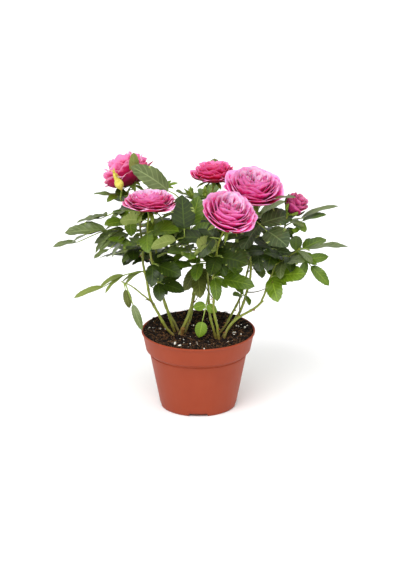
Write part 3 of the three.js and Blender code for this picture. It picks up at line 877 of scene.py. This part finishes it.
class Foliage:
    """Gathers leaflets and stalks while the sprays are worked out, to be joined afterwards."""

    def __init__(self):
        self.rows = []
        self.tints = []
        self.stalks = []
        self.stalk_radii = []

    def leaflet(self, foot, way, up, length, width, tint, rng, fold=None, curl=None):
        """One leaflet, with its own small chances of shape."""
        self.rows.append(
            {
                "foot": foot,
                "way": way,
                "up": up,
                "length": length,
                "width": width,
                "fold": rng.uniform(0.08, 0.5) if fold is None else fold,
                "curl": rng.uniform(0.15, 0.75) if curl is None else curl,
                "wave": rng.uniform(0.02, 0.07),
                "twist": rng.uniform(-0.3, 0.3),
                "phase": rng.uniform(0, 2 * math.pi),
            }
        )
        self.tints.append(tint)

    def stalk(self, points, first, last):
        """One thin stalk through a few points, tapering from its first to its last radius."""
        self.stalks.append(curved(np.array(points), STALK_STEPS))
        self.stalk_radii.append(np.linspace(first, last, STALK_STEPS))

    def sheets(self):
        """The middle surfaces of all the leaflets, and their tints."""
        spec = {key: np.array([row[key] for row in self.rows]) for key in self.rows[0]}
        return leaflets(spec), np.array(self.tints)

    def stalk_tubes(self, sides):
        """All the stalks as one shape."""
        return tubes(np.array(self.stalks), np.array(self.stalk_radii), sides)


def compound_leaf(foliage, foot, tip, up, leaf, rng):
    """A rose leaf: a stalk that arches from its foot, pairs of leaflets set out along it, and
    one leaflet more at its end, whose point is the tip."""
    reach = np.linalg.norm(tip - foot)
    along = unit(tip - foot)
    up = unit(up - (up @ along) * along)
    side = np.cross(along, up)
    size = min(leaf["size"] * MM, 0.8 * reach)
    plump, tint = leaf["plump"], TINTS.index(leaf["tint"])
    end = tip - along * size * 0.97
    stalk_length = np.linalg.norm(end - foot)
    middle = (foot + end) / 2 + up * STALK_ARCH * stalk_length
    foliage.stalk([foot, middle, end], 0.75 * MM, 0.5 * MM)
    line = curved(np.array([foot, middle, end]), 40)
    fold, curl = leaf["fold"], leaf["curl"]
    aim = along + math.tan(curl / 2) * up  # the curl brings the point back down to the tip
    foliage.leaflet(end, aim, up, size, size * plump, tint, rng, fold, curl)
    for pair in range((leaf["leaflets"] - 1) // 2):
        back = (leaf["gap"] + PAIR_SPACING * pair) * size / max(stalk_length, size / 3)
        spot = line[int(max(1 - back, 0.04) * (len(line) - 1))]
        for hand in (-1, 1):
            turn = leaf["open"] * rng.uniform(0.85, 1.15)
            way = along * math.cos(turn) + side * hand * math.sin(turn)
            way = way + up * rng.uniform(-0.2, 0.25)
            length = size * leaf["pair"] * (1 - PAIR_TAPER * pair) * rng.uniform(0.92, 1.05)
            tilt = up + side * hand * rng.uniform(-0.4, 0.1) + along * rng.uniform(-0.2, 0.2)
            start = spot + way * 1.2 * MM
            foliage.leaflet(start, way, tilt, length, length * plump, tint, rng)
            foliage.stalk([spot, (spot + start) / 2, start], 0.45 * MM, 0.4 * MM)


# Leaf finishes: colour, vein colour, roughness and height of the veins in millimetres. All but
# the last are the tints of upper skins, and the last is the underside that they all share.
LEAF_FINISHES = {
    # The tint below is a dark leaf green made darker still as painted shade, for the dark shadows
    # among the leaves.
    "deep": ("#1A2A04", "#465A16", 0.36, 0.25),
    "mid": ("#405A0C", "#768E26", 0.36, 0.25),
    "bright": ("#547008", "#8CA830", 0.4, 0.25),
    # The tint below is partly the leaf's own dull, pale green and partly painted sheen: its pallor
    # stands in for the gloss that light lays on waxy leaves.
    "grey_and_sheen": ("#495729", "#86945E", 0.33, 0.25),
    "slate": ("#283818", "#66784A", 0.33, 0.25),
    "olive": ("#444A16", "#7C8440", 0.45, 0.25),
    "pale": ("#6A7830", "#909C50", 0.5, 0.3),
    "underside": ("#7C8C42", "#A0AC60", 0.7, 0.3),
}
TINTS = list(LEAF_FINISHES)[:-1]

# A leaf where nothing else is said: how many leaflets it has, the length of its end leaflet in
# millimetres, its width as a share of that, the length of the paired leaflets as a share of it,
# how far behind it they stand, how far they open from the stalk, its fold and curl in radians,
# and its tint. "others" is the number of smaller leaves that fill a mass out, and "face", where
# it is given, is the way the upper skin looks.
PLAIN_LEAF = dict(
    leaflets=3, size=34, plump=0.6, pair=0.86, gap=0.3, open=1.05, fold=0.22, curl=0.45,
    tint="deep", others=1,
)
BACK_LEAF = dict(others=2, leaflets=5)  # where a mass has no row in the table
UNDERSIDE_OUT = dict(leaflets=1, face=(0, 0.9, 0.3))  # its upper skin looks to the back
LEADING_LEAVES = {
    "leaves_far_left": dict(
        leaflets=5, size=26, plump=0.45, pair=1.7, gap=1.25, open=0.2, tint="grey_and_sheen",
    ),
    "leaves_left_high": dict(leaflets=5, size=26, open=0.7, tint="grey_and_sheen"),
    "leaves_left_top": dict(size=22, tint="mid", others=0),
    "leaves_left_mid": dict(size=27, plump=0.36, tint="grey_and_sheen", others=0),
    "leaves_left_low": dict(
        leaflets=5, plump=0.28, gap=0.7, open=0.16, tint="pale", others=0, face=(0.2, -0.15, 1),
    ),
    "leaves_left_hanging": dict(leaflets=1, size=29, plump=0.3, tint="grey_and_sheen", others=0),
    "leaves_left_front": dict(size=38),
    "leaves_left_upright": dict(leaflets=1, size=36, plump=0.3, tint="olive", others=0),
    "leaves_top_left": dict(leaflets=1, size=52, plump=0.48, tint="grey_and_sheen", others=0),
    "leaves_front_upright": dict(leaflets=1, size=44, plump=0.64, others=0, curl=0.1),
    "leaves_front_left": dict(size=36, tint="mid"),
    "leaves_left_under": dict(UNDERSIDE_OUT, size=32, plump=0.66, others=0),
    "leaves_mid_under": dict(UNDERSIDE_OUT, size=32, plump=0.55, others=0),
    "leaves_front_centre": dict(size=38, tint="mid", others=0),
    "leaves_centre_left": dict(size=36),
    "leaves_low_left": dict(size=30),
    "leaves_centre_low": dict(size=32, plump=0.5, open=0.6, tint="olive", others=0),
    "leaves_low_centre": dict(size=17, plump=0.78, pair=0.8, gap=1.1, tint="bright", others=0),
    "leaves_right_low": dict(size=40, plump=0.5, pair=0.7, tint="mid"),
    "leaves_right_small": dict(size=17, tint="mid", others=0),
    "leaves_right_bright": dict(size=42, tint="bright"),
    "leaves_right_mid": dict(size=38, tint="grey_and_sheen"),
    "leaves_far_right": dict(size=42, plump=0.4, pair=0.65, tint="grey_and_sheen", others=0),
    "leaves_right_hanging": dict(size=28, plump=0.45, tint="mid", others=0),
    "leaves_right_high": dict(size=42, plump=0.32, pair=0.6, tint="grey_and_sheen", others=0),
    "leaves_right_front": dict(size=38, plump=0.72, pair=0.95, open=1.25, tint="slate", others=0),
    "leaves_right_top": dict(leaflets=1, size=40, plump=0.3, tint="grey_and_sheen", others=0),
    "leaves_front_low": dict(size=36),
}


def outward(point):
    """The level direction from the middle of the bush to a point."""
    return unit(point * [1, 1, 0])


def foliage_of_masses(foliage):
    """Every mass of leaves becomes a leading leaf that reaches from the nearest limb to the
    tip of the mass, and smaller leaves that leave the same place at seeded angles to it."""
    for index, name in enumerate(MASS_NAMES):
        rng = np.random.default_rng(500 + index)
        foot, tip, side, up = mass_axes(name)
        leaf = {**PLAIN_LEAF, **LEADING_LEAVES.get(name, BACK_LEAF)}
        up = np.array(leaf.get("face", up))
        if name not in LEADING_LEAVES:
            leaf["tint"] = str(rng.choice(["deep", "deep", "mid", "grey_and_sheen"]))
        start = nearest_on_limbs(foot)
        reach = np.linalg.norm(tip - foot)
        along = unit(tip - foot)
        compound_leaf(foliage, start, tip, up, leaf, rng)
        for other in range(leaf["others"]):
            lean = rng.uniform(0.35, 0.75) * (1 if other % 2 else -1)
            way = along * math.cos(lean) + side * math.sin(lean) + up * rng.uniform(-0.45, 0.1)
            end = foot + unit(way) * reach * rng.uniform(0.6, 0.9)
            less = {**leaf, "size": leaf["size"] * rng.uniform(0.75, 0.95), "leaflets": 3}
            compound_leaf(foliage, start, end, up + 0.4 * outward(end), less, rng)


# Lone leaves: the limb that bears each, the share of the limb's length where it leaves, the
# way it goes, its reach in millimetres, and how it differs from the plain leaf.
LONE_LEAVES = (
    ("bough_front", 1.0, (-0.8, -0.68, 0.0), 45, dict(UNDERSIDE_OUT, size=34, plump=0.5)),
    (
        "stem_right_mid", 0.62, (-0.62, -0.71, 0.34), 92,
        dict(leaflets=1, size=40, plump=0.48, face=(0, 1, -0.3)),
    ),
    ("stem_left_inner", 0.8, (0.93, -0.1, 0.35), 32, dict(leaflets=1, size=28, tint="grey_and_sheen")),
    ("stem_left_outer", 0.98, (-0.75, -0.65, 0), 26, dict(leaflets=1, size=15, plump=0.85)),
    ("stem_left_outer", 0.78, (-0.8, -0.55, 0.05), 44, dict(size=24, plump=0.7, tint="mid")),
    (
        "bough_left_low", 1.0, (0.22, -0.2, -1), 27,
        dict(leaflets=1, size=20, plump=0.45, tint="olive"),
    ),
    ("stem_right_rise", 0.8, (0.5, -0.6, -0.3), 15, dict(size=11, plump=0.5, open=1.2)),
    ("stem_right_rise", 0.7, (0.7, -0.3, 0.5), 26, dict(leaflets=1, size=14, tint="bright")),
    (
        "stem_left_outer", 0.95, (0.97, -0.05, 0.28), 46,
        dict(size=12, plump=0.36, open=0.4, tint="bright"),
    ),
    ("stem_back_centre", 0.8, (0.5, -0.6, 0.6), 50, dict(size=28, tint="slate")),
    ("stem_right_mid", 0.62, (0.85, -0.45, 0.1), 46, dict(size=30, tint="slate")),
    ("stem_left_upright", 0.97, (0.03, 0.8, 0.58), 36, dict(leaflets=1, size=24, tint="olive")),
)


def lone_leaves(foliage):
    """The single leaves that stand between the masses, each from its own place on a limb."""
    for index, (name, share, way, reach, form) in enumerate(LONE_LEAVES):
        rng = np.random.default_rng(1100 + index)
        centres, _ = LIMBS[name]
        foot = curved(centres, 101)[round(share * 100)]
        tip = foot + unit(np.array(way)) * reach * MM
        leaf = {**PLAIN_LEAF, **form}
        up = np.array(leaf.get("face", (0, -0.5, 0.85)))
        compound_leaf(foliage, foot, tip, up, leaf, rng)


INNER_LEAVES_LOW, INNER_LEAVES_HIGH = 150 * MM, 205 * MM
INNER_LEAVES = 3
FRONT_STEMS = -15 * MM  # limbs in front of this leave the front to the masses


def foliage_of_stems(foliage):
    """Between the masses each limb bears three more leaves, in the height where the bush is
    closed. Each next one stands a golden-angle turn further round its limb, and those of the
    limbs nearest to the front all go towards the back."""
    for index, (centres, _) in enumerate(LIMBS.values()):
        rng = np.random.default_rng(800 + index)
        line = curved(centres, LINE_STEPS)
        closed = line[(line[:, 2] > INNER_LEAVES_LOW) & (line[:, 2] < INNER_LEAVES_HIGH)]
        if len(closed) < 3:
            continue
        for k in range(INNER_LEAVES):
            foot = closed[int((k + rng.uniform(0.2, 0.8)) / INNER_LEAVES * len(closed))]
            turn = index + k * GOLDEN_TURN
            forward = max(math.sin(turn), 0.1 if foot[1] < FRONT_STEMS else -0.3)
            way = np.array([math.cos(turn), forward, rng.uniform(-0.15, 0.4)])
            tip = foot + unit(way) * rng.uniform(38, 52) * MM
            tint = str(rng.choice(["deep", "deep", "mid"]))
            leaf = {**PLAIN_LEAF, "size": rng.uniform(25, 32), "tint": tint}
            up = np.array([0, 0, 1]) + 0.7 * outward(tip)
            compound_leaf(foliage, foot, tip, up, leaf, rng)


MOST_QUADS = 95000


def sheet_pieces(name, middle, thickness, upper, lower, finishes, nodes):
    """Joins sheets into as few pieces as keep each one's quads under the greatest number."""
    each = 2 * (middle.shape[1] - 1) * (middle.shape[2] - 1)
    most = MOST_QUADS // each
    parts = math.ceil(len(middle) / most)
    for part in range(parts):
        chosen = slice(part * most, (part + 1) * most)
        points, faces, skins = double_sheets(middle[chosen], thickness)
        upper_slot = np.repeat(upper[chosen], each)
        lower_slot = np.repeat(lower[chosen], each)
        slots = np.where(skins == 0, upper_slot, lower_slot)
        uv = sheet_uv(*middle[chosen].shape[:3])
        label = name if parts == 1 else f"{name}_{part + 1}"
        piece(label, (points, [faces]), finishes, nodes, slots, uv, RIM_CREASE)


def leaves():
    """All the leaflets, joined, and all their stalks, joined."""
    foliage = Foliage()
    foliage_of_masses(foliage)
    foliage_of_stems(foliage)
    lone_leaves(foliage)
    skins = [leaf_skin("leaf_" + name, *row) for name, row in LEAF_FINISHES.items()]
    middles, tint = foliage.sheets()
    under = np.full(len(tint), len(TINTS))
    sheet_pieces("leaves", middles, LEAF_THICKNESS, tint, under, skins, MASS_NAMES)
    stalk_finish = speckled("leaf_stalk", "#6D8530", "#A6B75A", 3.0, 0.5, 0.1)
    piece("leaf_stalks", foliage.stalk_tubes(6), [stalk_finish], MASS_NAMES)


# ---- blooms ----------------------------------------------------------------------------

PETAL_ROWS = 12
PETAL_COLUMNS = 13
PETAL_THICKNESS = 0.45 * MM
NESTS = 4
# How a flower's petals lie: the share of them that stand in nests, the share of the radius
# that the heart takes, the power by which the others spread, their height as a share of the
# depth, how far the outer edges fall, roll back and ruffle, their width, and how much further
# out their knee stands with age.
OPEN = dict(
    nested=0.42, heart=0.36, spread=0.85, tall=1.0, fall=0.34, roll=0.2, ruffle=0.035, wide=0.62,
    knee=0.4,
)
FLAT = dict(
    OPEN, nested=0.34, tall=0.95, fall=0.46, roll=0.16, ruffle=0.045, wide=0.5, knee=0.5
)
LOOSE = dict(OPEN, nested=0.3, fall=0.5, roll=0.3, ruffle=0.07, wide=0.5)
HALF_OPEN = dict(
    OPEN, nested=0.0, heart=0.15, spread=0.8, fall=0.25, roll=0.22, ruffle=0.02, wide=0.8, knee=0.35
)


def axes_across(facing):
    """Two directions square to each other and to the way that a flower faces."""
    across = unit(np.cross([0, 1, 0.01], facing))
    return across, np.cross(facing, across)


def spoke(axes, turn):
    """The direction at a turn in the plane of two axes."""
    return axes[0] * math.cos(turn) + axes[1] * math.sin(turn)


def petals(radius, depth, count, rng, form):
    """The middle surfaces of a rosette's petals, from the foot of the flower up its own axis.

    A petal of age t, from 0 in the heart to 1 outside, stands at t's turn of the golden angle.
    Its spine is a quadratic curve that leaves the foot outwards and then stands up, like the
    side of a bowl: its knee lies further out with age, its end further out and lower, and at
    the end the outer petals roll back. Across, the petal wraps the axis on a circle of about
    its distance from it. Its corners fall away by the fourth power of the distance from its
    middle, and two slow waves ruffle its edge. The youngest petals stand in four nests round
    the axis: there a petal wraps the middle line of its nest, on the side away from the axis,
    by more than half a turn.
    """
    number = np.arange(count)[:, None, None]
    age = (number + 0.5) / count
    nested = age < form["nested"]
    young = np.clip(age / max(form["nested"], 1e-6), 0, 1)
    grown = np.clip((age - form["nested"]) / (1 - form["nested"]), 0, 1)
    nest_way = number % NESTS * 2 * math.pi / NESTS + 0.5
    shy = rng.uniform(-0.25, 0.25, (count, 1, 1))
    turn = np.where(nested, nest_way + 1.6 * shy, number * GOLDEN_TURN + shy)
    height = np.linspace(0, 1, PETAL_ROWS)[None, :, None]
    across = np.linspace(-1, 1, PETAL_COLUMNS)[None, None, :]
    own = rng.uniform(0.95, 1.04, (2, count, 1, 1))
    s = height * (1 - (0.14 + 0.08 * age) * across**4 * height)
    heart = form["heart"]
    far = radius * (heart + (0.98 - heart) * grown ** form["spread"])
    near = radius * 0.62 * heart * (0.1 + 0.9 * young)
    edge_out = np.where(nested, near, far) * own[0]
    sunk = np.where(nested, 0.08 - 0.06 * young, form["fall"] * grown**1.6)
    edge_up = depth * form["tall"] * (1 - sunk) * own[1]
    knee_out = edge_out * (0.45 + form["knee"] * age)
    knee_up = edge_up * 0.1
    foot_out = radius * (0.03 + 0.05 * age)
    out = (1 - s) ** 2 * foot_out + 2 * s * (1 - s) * knee_out + s**2 * edge_out
    rise = 2 * s * (1 - s) * knee_up + s**2 * edge_up
    roll = radius * form["roll"] * grown * ease(0.66, 1.05, s) ** 1.5
    out = out + 0.35 * roll
    rise = rise - 0.8 * roll
    widening = 0.14 + 0.86 * np.sin(math.pi / 2 * height**0.75)
    half = radius * (0.2 + form["wide"] * age**0.7) * widening * (1 - 0.22 * height**5)
    wrap = np.maximum(out, 0.08 * radius) * (1.02 + 0.16 * grown)
    laid = np.clip(half * across / wrap, -2.6, 2.6)
    angle = np.where(nested, (1.9 - 0.4 * young) * across, laid)
    phases = rng.uniform(0, 2 * math.pi, (2, count, 1, 1))
    beats = rng.uniform(0.9, 1.9, (2, count, 1, 1))
    ruffle = radius * form["ruffle"] * height**2.5
    out = out + ruffle * np.sin(beats[0] * math.pi * across + phases[0])
    rise = rise + 0.6 * ruffle * np.sin(beats[1] * math.pi * across + phases[1])
    rise = rise - 0.07 * radius * grown * height**2 * across**2
    radial = out - wrap + wrap * np.cos(angle)
    aside = wrap * np.sin(angle)
    nest_out = 0.68 * heart * radius * (0.55 + 0.45 * young) * ease(0, 0.6, height)
    nest_out = np.where(nested, nest_out, 0)
    x = radial * np.cos(turn) - aside * np.sin(turn) + nest_out * np.cos(nest_way)
    y = radial * np.sin(turn) + aside * np.cos(turn) + nest_out * np.sin(nest_way)
    return np.stack([x, y, rise], axis=-1)


# Number of petals, form, and the colours of the outer petals and of the heart's.
FLOWERS = {
    "bloom_front": (56, OPEN, "lilac", "pale"),
    "bloom_right": (58, OPEN, "lilac", "pale"),
    "bloom_left_front": (62, FLAT, "skirt", "pale"),
    "bloom_top": (58, FLAT, "hot", "hot"),
    "bloom_left_back": (46, LOOSE, "rose", "rose"),
    "bud_right": (16, HALF_OPEN, "magenta", "magenta"),
}
HEART_SHARE = 0.55  # of the petals, the youngest, which have the heart's colours
# Colours of the upper and the lower skin, each at the foot, in the body and at the edge.
# Each foot colour is partly the petal's own darker base and partly painted shade for the gaps
# between the petals. Each lower skin is partly the petal's own darker reverse and partly
# painted shade for undersides turned away from the light.
PETAL_COLOURS = {
    "lilac": (("#98003C", "#EC3898", "#FAB0E2"), ("#8C0030", "#D81C7C", "#F480C4")),
    "pale": (("#90002C", "#E8489C", "#FDCCEA"), ("#7C0020", "#C41C64", "#F084C0")),
    "skirt": (("#8C002C", "#D8307C", "#F8B4DC"), ("#74001C", "#B40C50", "#DC5C9C")),
    "hot": (("#8C0020", "#E8146C", "#F888C0"), ("#700014", "#B40440", "#E85898")),
    "rose": (("#900030", "#E83C88", "#FCC4E4"), ("#780020", "#C02060", "#F88CC0")),
    "magenta": (("#6C0C34", "#AC286C", "#DC80AC"), ("#600428", "#9C1C5C", "#CC5890")),
}


def blooms():
    """Each open bloom and the half-open bud: petals in a golden-angle rosette."""
    skins = {}
    for name, (above, below) in PETAL_COLOURS.items():
        skins[name] = [
            petal_skin(f"petal_{name}_upper", *above),
            # The lower skins are darker partly as painted shade for petal undersides turned from
            # the light.
            petal_skin(f"petal_{name}_lower", *below),
        ]
    for index, (name, (count, form, outer, heart)) in enumerate(FLOWERS.items()):
        rng = np.random.default_rng(900 + index)
        middle, facing, radius, depth = bloom_axes(name)
        surface = petals(radius, depth, count, rng, form)
        foot = middle - facing * depth / 2
        axes = (*axes_across(facing), facing)
        placed = foot + sum(surface[..., k : k + 1] * axis for k, axis in enumerate(axes))
        points, faces, skin = double_sheets(placed[:, :, ::-1], PETAL_THICKNESS)
        in_heart = np.arange(count) < HEART_SHARE * count
        skin = skin + 2 * np.repeat(in_heart, len(faces) // count)
        uv = sheet_uv(count, PETAL_ROWS, PETAL_COLUMNS)
        finishes = skins[outer] + skins[heart]
        shape = (points, [faces])
        piece(name + "_petals", shape, finishes, [name], skin, uv, RIM_CREASE)


BLOOMLESS_STEM = "stem_mid_left"  # it bears a cluster of closed buds
SEPALS = 5


def sepals_and_buds():
    """Under each bloom, a small round hip and five long sepals; and the closed buds."""
    green = speckled("sepal_green", "#42580F", "#869A3A", 1.6, 0.5, 0.1)
    yellow = speckled("bud_yellow_green", "#B9B23A", "#E2D66A", 2.4, 0.5, 0.1)
    hips, hip_radii = [], []
    foliage = Foliage()
    profile = np.array([1.3, 1.7, 2.6, 3.4, 3.7, 3.2, 2.0, 0.8]) * MM
    for index, name in enumerate(FLOWERS):
        rng = np.random.default_rng(700 + index)
        middle, facing, _, depth = bloom_axes(name)
        foot = middle - facing * (depth / 2 + 1 * MM)
        reach = np.linspace(-5 * MM, 4.5 * MM, len(profile))[:, None]
        hips.append(foot + facing * reach)
        closed_up = name.startswith("bud")
        hip_radii.append(profile * (0.8 if closed_up else 1))
        curl = -1.5 if closed_up else 0.9
        wide = (6.5 if closed_up else 5) * MM
        axes = axes_across(facing)
        for k in range(SEPALS):
            out = spoke(axes, k * 2 * math.pi / SEPALS + rng.uniform(-0.2, 0.2))
            way = out + facing * (0.15 if closed_up else rng.uniform(-0.5, 0.35))
            long = rng.uniform(17, 21) * MM
            up = facing - 0.3 * out
            foliage.leaflet(foot + out * 2 * MM, way, up, long, wide, 0, rng, 0.3, curl)
    middle, facing, _, depth = bloom_axes("bud_left")
    body = np.array([0.8, 2.2, 3.8, 4.6, 4.7, 4.1, 3.0, 1.9, 1.1, 0.5]) * MM
    reach = np.linspace(-0.5, 0.22, len(body))[:, None] * depth
    low = middle + facing * reach
    shape = tubes(low[None], body[None], 14)
    piece("bud_left_body", shape, [yellow], ["bud_left"])
    axes = axes_across(facing)
    rng = np.random.default_rng(77)
    for k in range(3):
        out = spoke(axes, k * 2 * math.pi / 3)
        start = middle + facing * depth * 0.02 + out * 3.4 * MM
        foliage.leaflet(start, facing * 3 - out, out, depth * 0.52, 3 * MM, 1, rng, 0.3, 0.3)
    root = nearest_on_limbs(low[0] - [0, 0, 26 * MM])
    foliage.stalk([root, low[0] - [0, 0, 12 * MM], low[0]], 0.8 * MM, 0.9 * MM)
    shape = tubes(np.array(hips), np.array(hip_radii), 12)
    piece("hips", shape, [green], list(FLOWERS))

    end = LIMBS[BLOOMLESS_STEM][0][-1]
    young, young_radii = [], []
    outline = np.array([0.8, 1.9, 2.9, 3.3, 3.2, 2.6, 1.8, 1.1, 0.7, 0.4]) * MM
    for lean in ((-13, 1, -2), (0, -2, -1)):
        base = end + np.array(lean) * MM
        way = unit(np.array(lean) * [0.4, 0.4, 0] + [0, 0, 12])
        young.append(base + way * np.linspace(0, 11 * MM, len(outline))[:, None])
        young_radii.append(outline)
        knee = (end + base) / 2 - [0, 0, 3 * MM]
        foliage.stalk([end - [0, 0, 9 * MM], knee, base], 0.7 * MM, 0.8 * MM)
        for k in range(4):
            out = spoke(np.eye(3)[:2], k * math.pi / 2 + lean[0])
            start = base + way * 2 * MM + out * 2 * MM
            foliage.leaflet(start, way + 0.1 * out, out, 10 * MM, 4 * MM, 0, rng, 0.2, -0.5)
    shape = tubes(np.array(young), np.array(young_radii), 10)
    piece("closed_buds", shape, [green], [BLOOMLESS_STEM])
    middles, tint = foliage.sheets()
    greens = [green, yellow]
    sheet_pieces("sepals", middles, 0.5 * MM, tint, tint, greens, list(FLOWERS))
    piece("bud_stalk", foliage.stalk_tubes(8), [green], ["bud_left"])


# ---- floor, light and camera -----------------------------------------------------------

CAMERA_ELEVATION = math.radians(20)
CAMERA_DISTANCE = 4.8
CAMERA_AIM = np.array([1.8, 0, 133]) * MM
VIEW_HEIGHT = 0.598  # height of the view at the plant
SENSOR = 36.0
FLOOR_HALF = 12.0


def studio():
    """A pale seamless floor, a surround that is bright above and dimmer at the sides, and two
    broad soft lights, the stronger from above the left front."""
    corners = np.array([[-1, -1, 0], [1, -1, 0], [1, 1, 0], [-1, 1, 0]]) * FLOOR_HALF
    mesh = bpy.data.meshes.new("floor")
    mesh.from_pydata(corners.tolist(), [], [(0, 1, 2, 3)])
    floor = shown("floor", mesh)
    material, _, _ = finish("pale_floor", {"Base Color": (0.93, 0.93, 0.93, 1), "Roughness": 0.9})
    mesh.materials.append(material)

    world = bpy.data.worlds.new("surround")
    world.use_nodes = True
    tree = world.node_tree
    way = put(tree, "TexCoord")
    height = put(tree, "SeparateXYZ", {0: way.outputs["Generated"]})
    glow = put(
        tree,
        "MapRange",
        {"Value": height.outputs["Z"], "From Min": -0.1, "To Min": 0.45, "To Max": 1.1},
    )
    feed(tree.nodes["Background"], {"Strength": glow, "Color": (1, 1, 1, 1)})
    bpy.context.scene.world = world

    for name, place, spread, power in (
        ("key", (-0.45, -0.9, 1.1), 45, 2.1),
        ("fill", (0.9, -0.7, 0.9), 60, 0.6),
    ):
        light = bpy.data.lights.new(name, "SUN")
        light.angle = math.radians(spread)
        light.energy = power
        lamp = shown(name, light)
        lamp.location = place
        lamp.rotation_euler = aimed(-np.array(place))
    bpy.context.scene.view_settings.view_transform = "Standard"


def aimed(way):
    """The turn that points a lamp's or camera's -Z axis along a direction, with +Y up."""
    return Vector(way).to_track_quat("-Z", "Y").to_euler()


def camera():
    """A long lens that looks slightly down on the plant."""
    back = np.array([0, -math.cos(CAMERA_ELEVATION), math.sin(CAMERA_ELEVATION)])
    data = bpy.data.cameras.new("camera")
    data.sensor_fit = "VERTICAL"
    data.sensor_height = SENSOR
    data.lens = SENSOR * CAMERA_DISTANCE / VIEW_HEIGHT
    data.clip_end = 50
    viewer = shown("camera", data)
    viewer.location = CAMERA_AIM + back * CAMERA_DISTANCE
    viewer.rotation_euler = aimed(-back)
    bpy.context.scene.camera = viewer


camera()
studio()
nursery_pot()
compost()
bark = young_bark()
stems(bark)
prickles(speckled("prickle", "#7A4A2A", "#B07A4A", 1.0, 0.5, 0.05))
twigs()
stub()
leaves()
blooms()
sepals_and_buds()
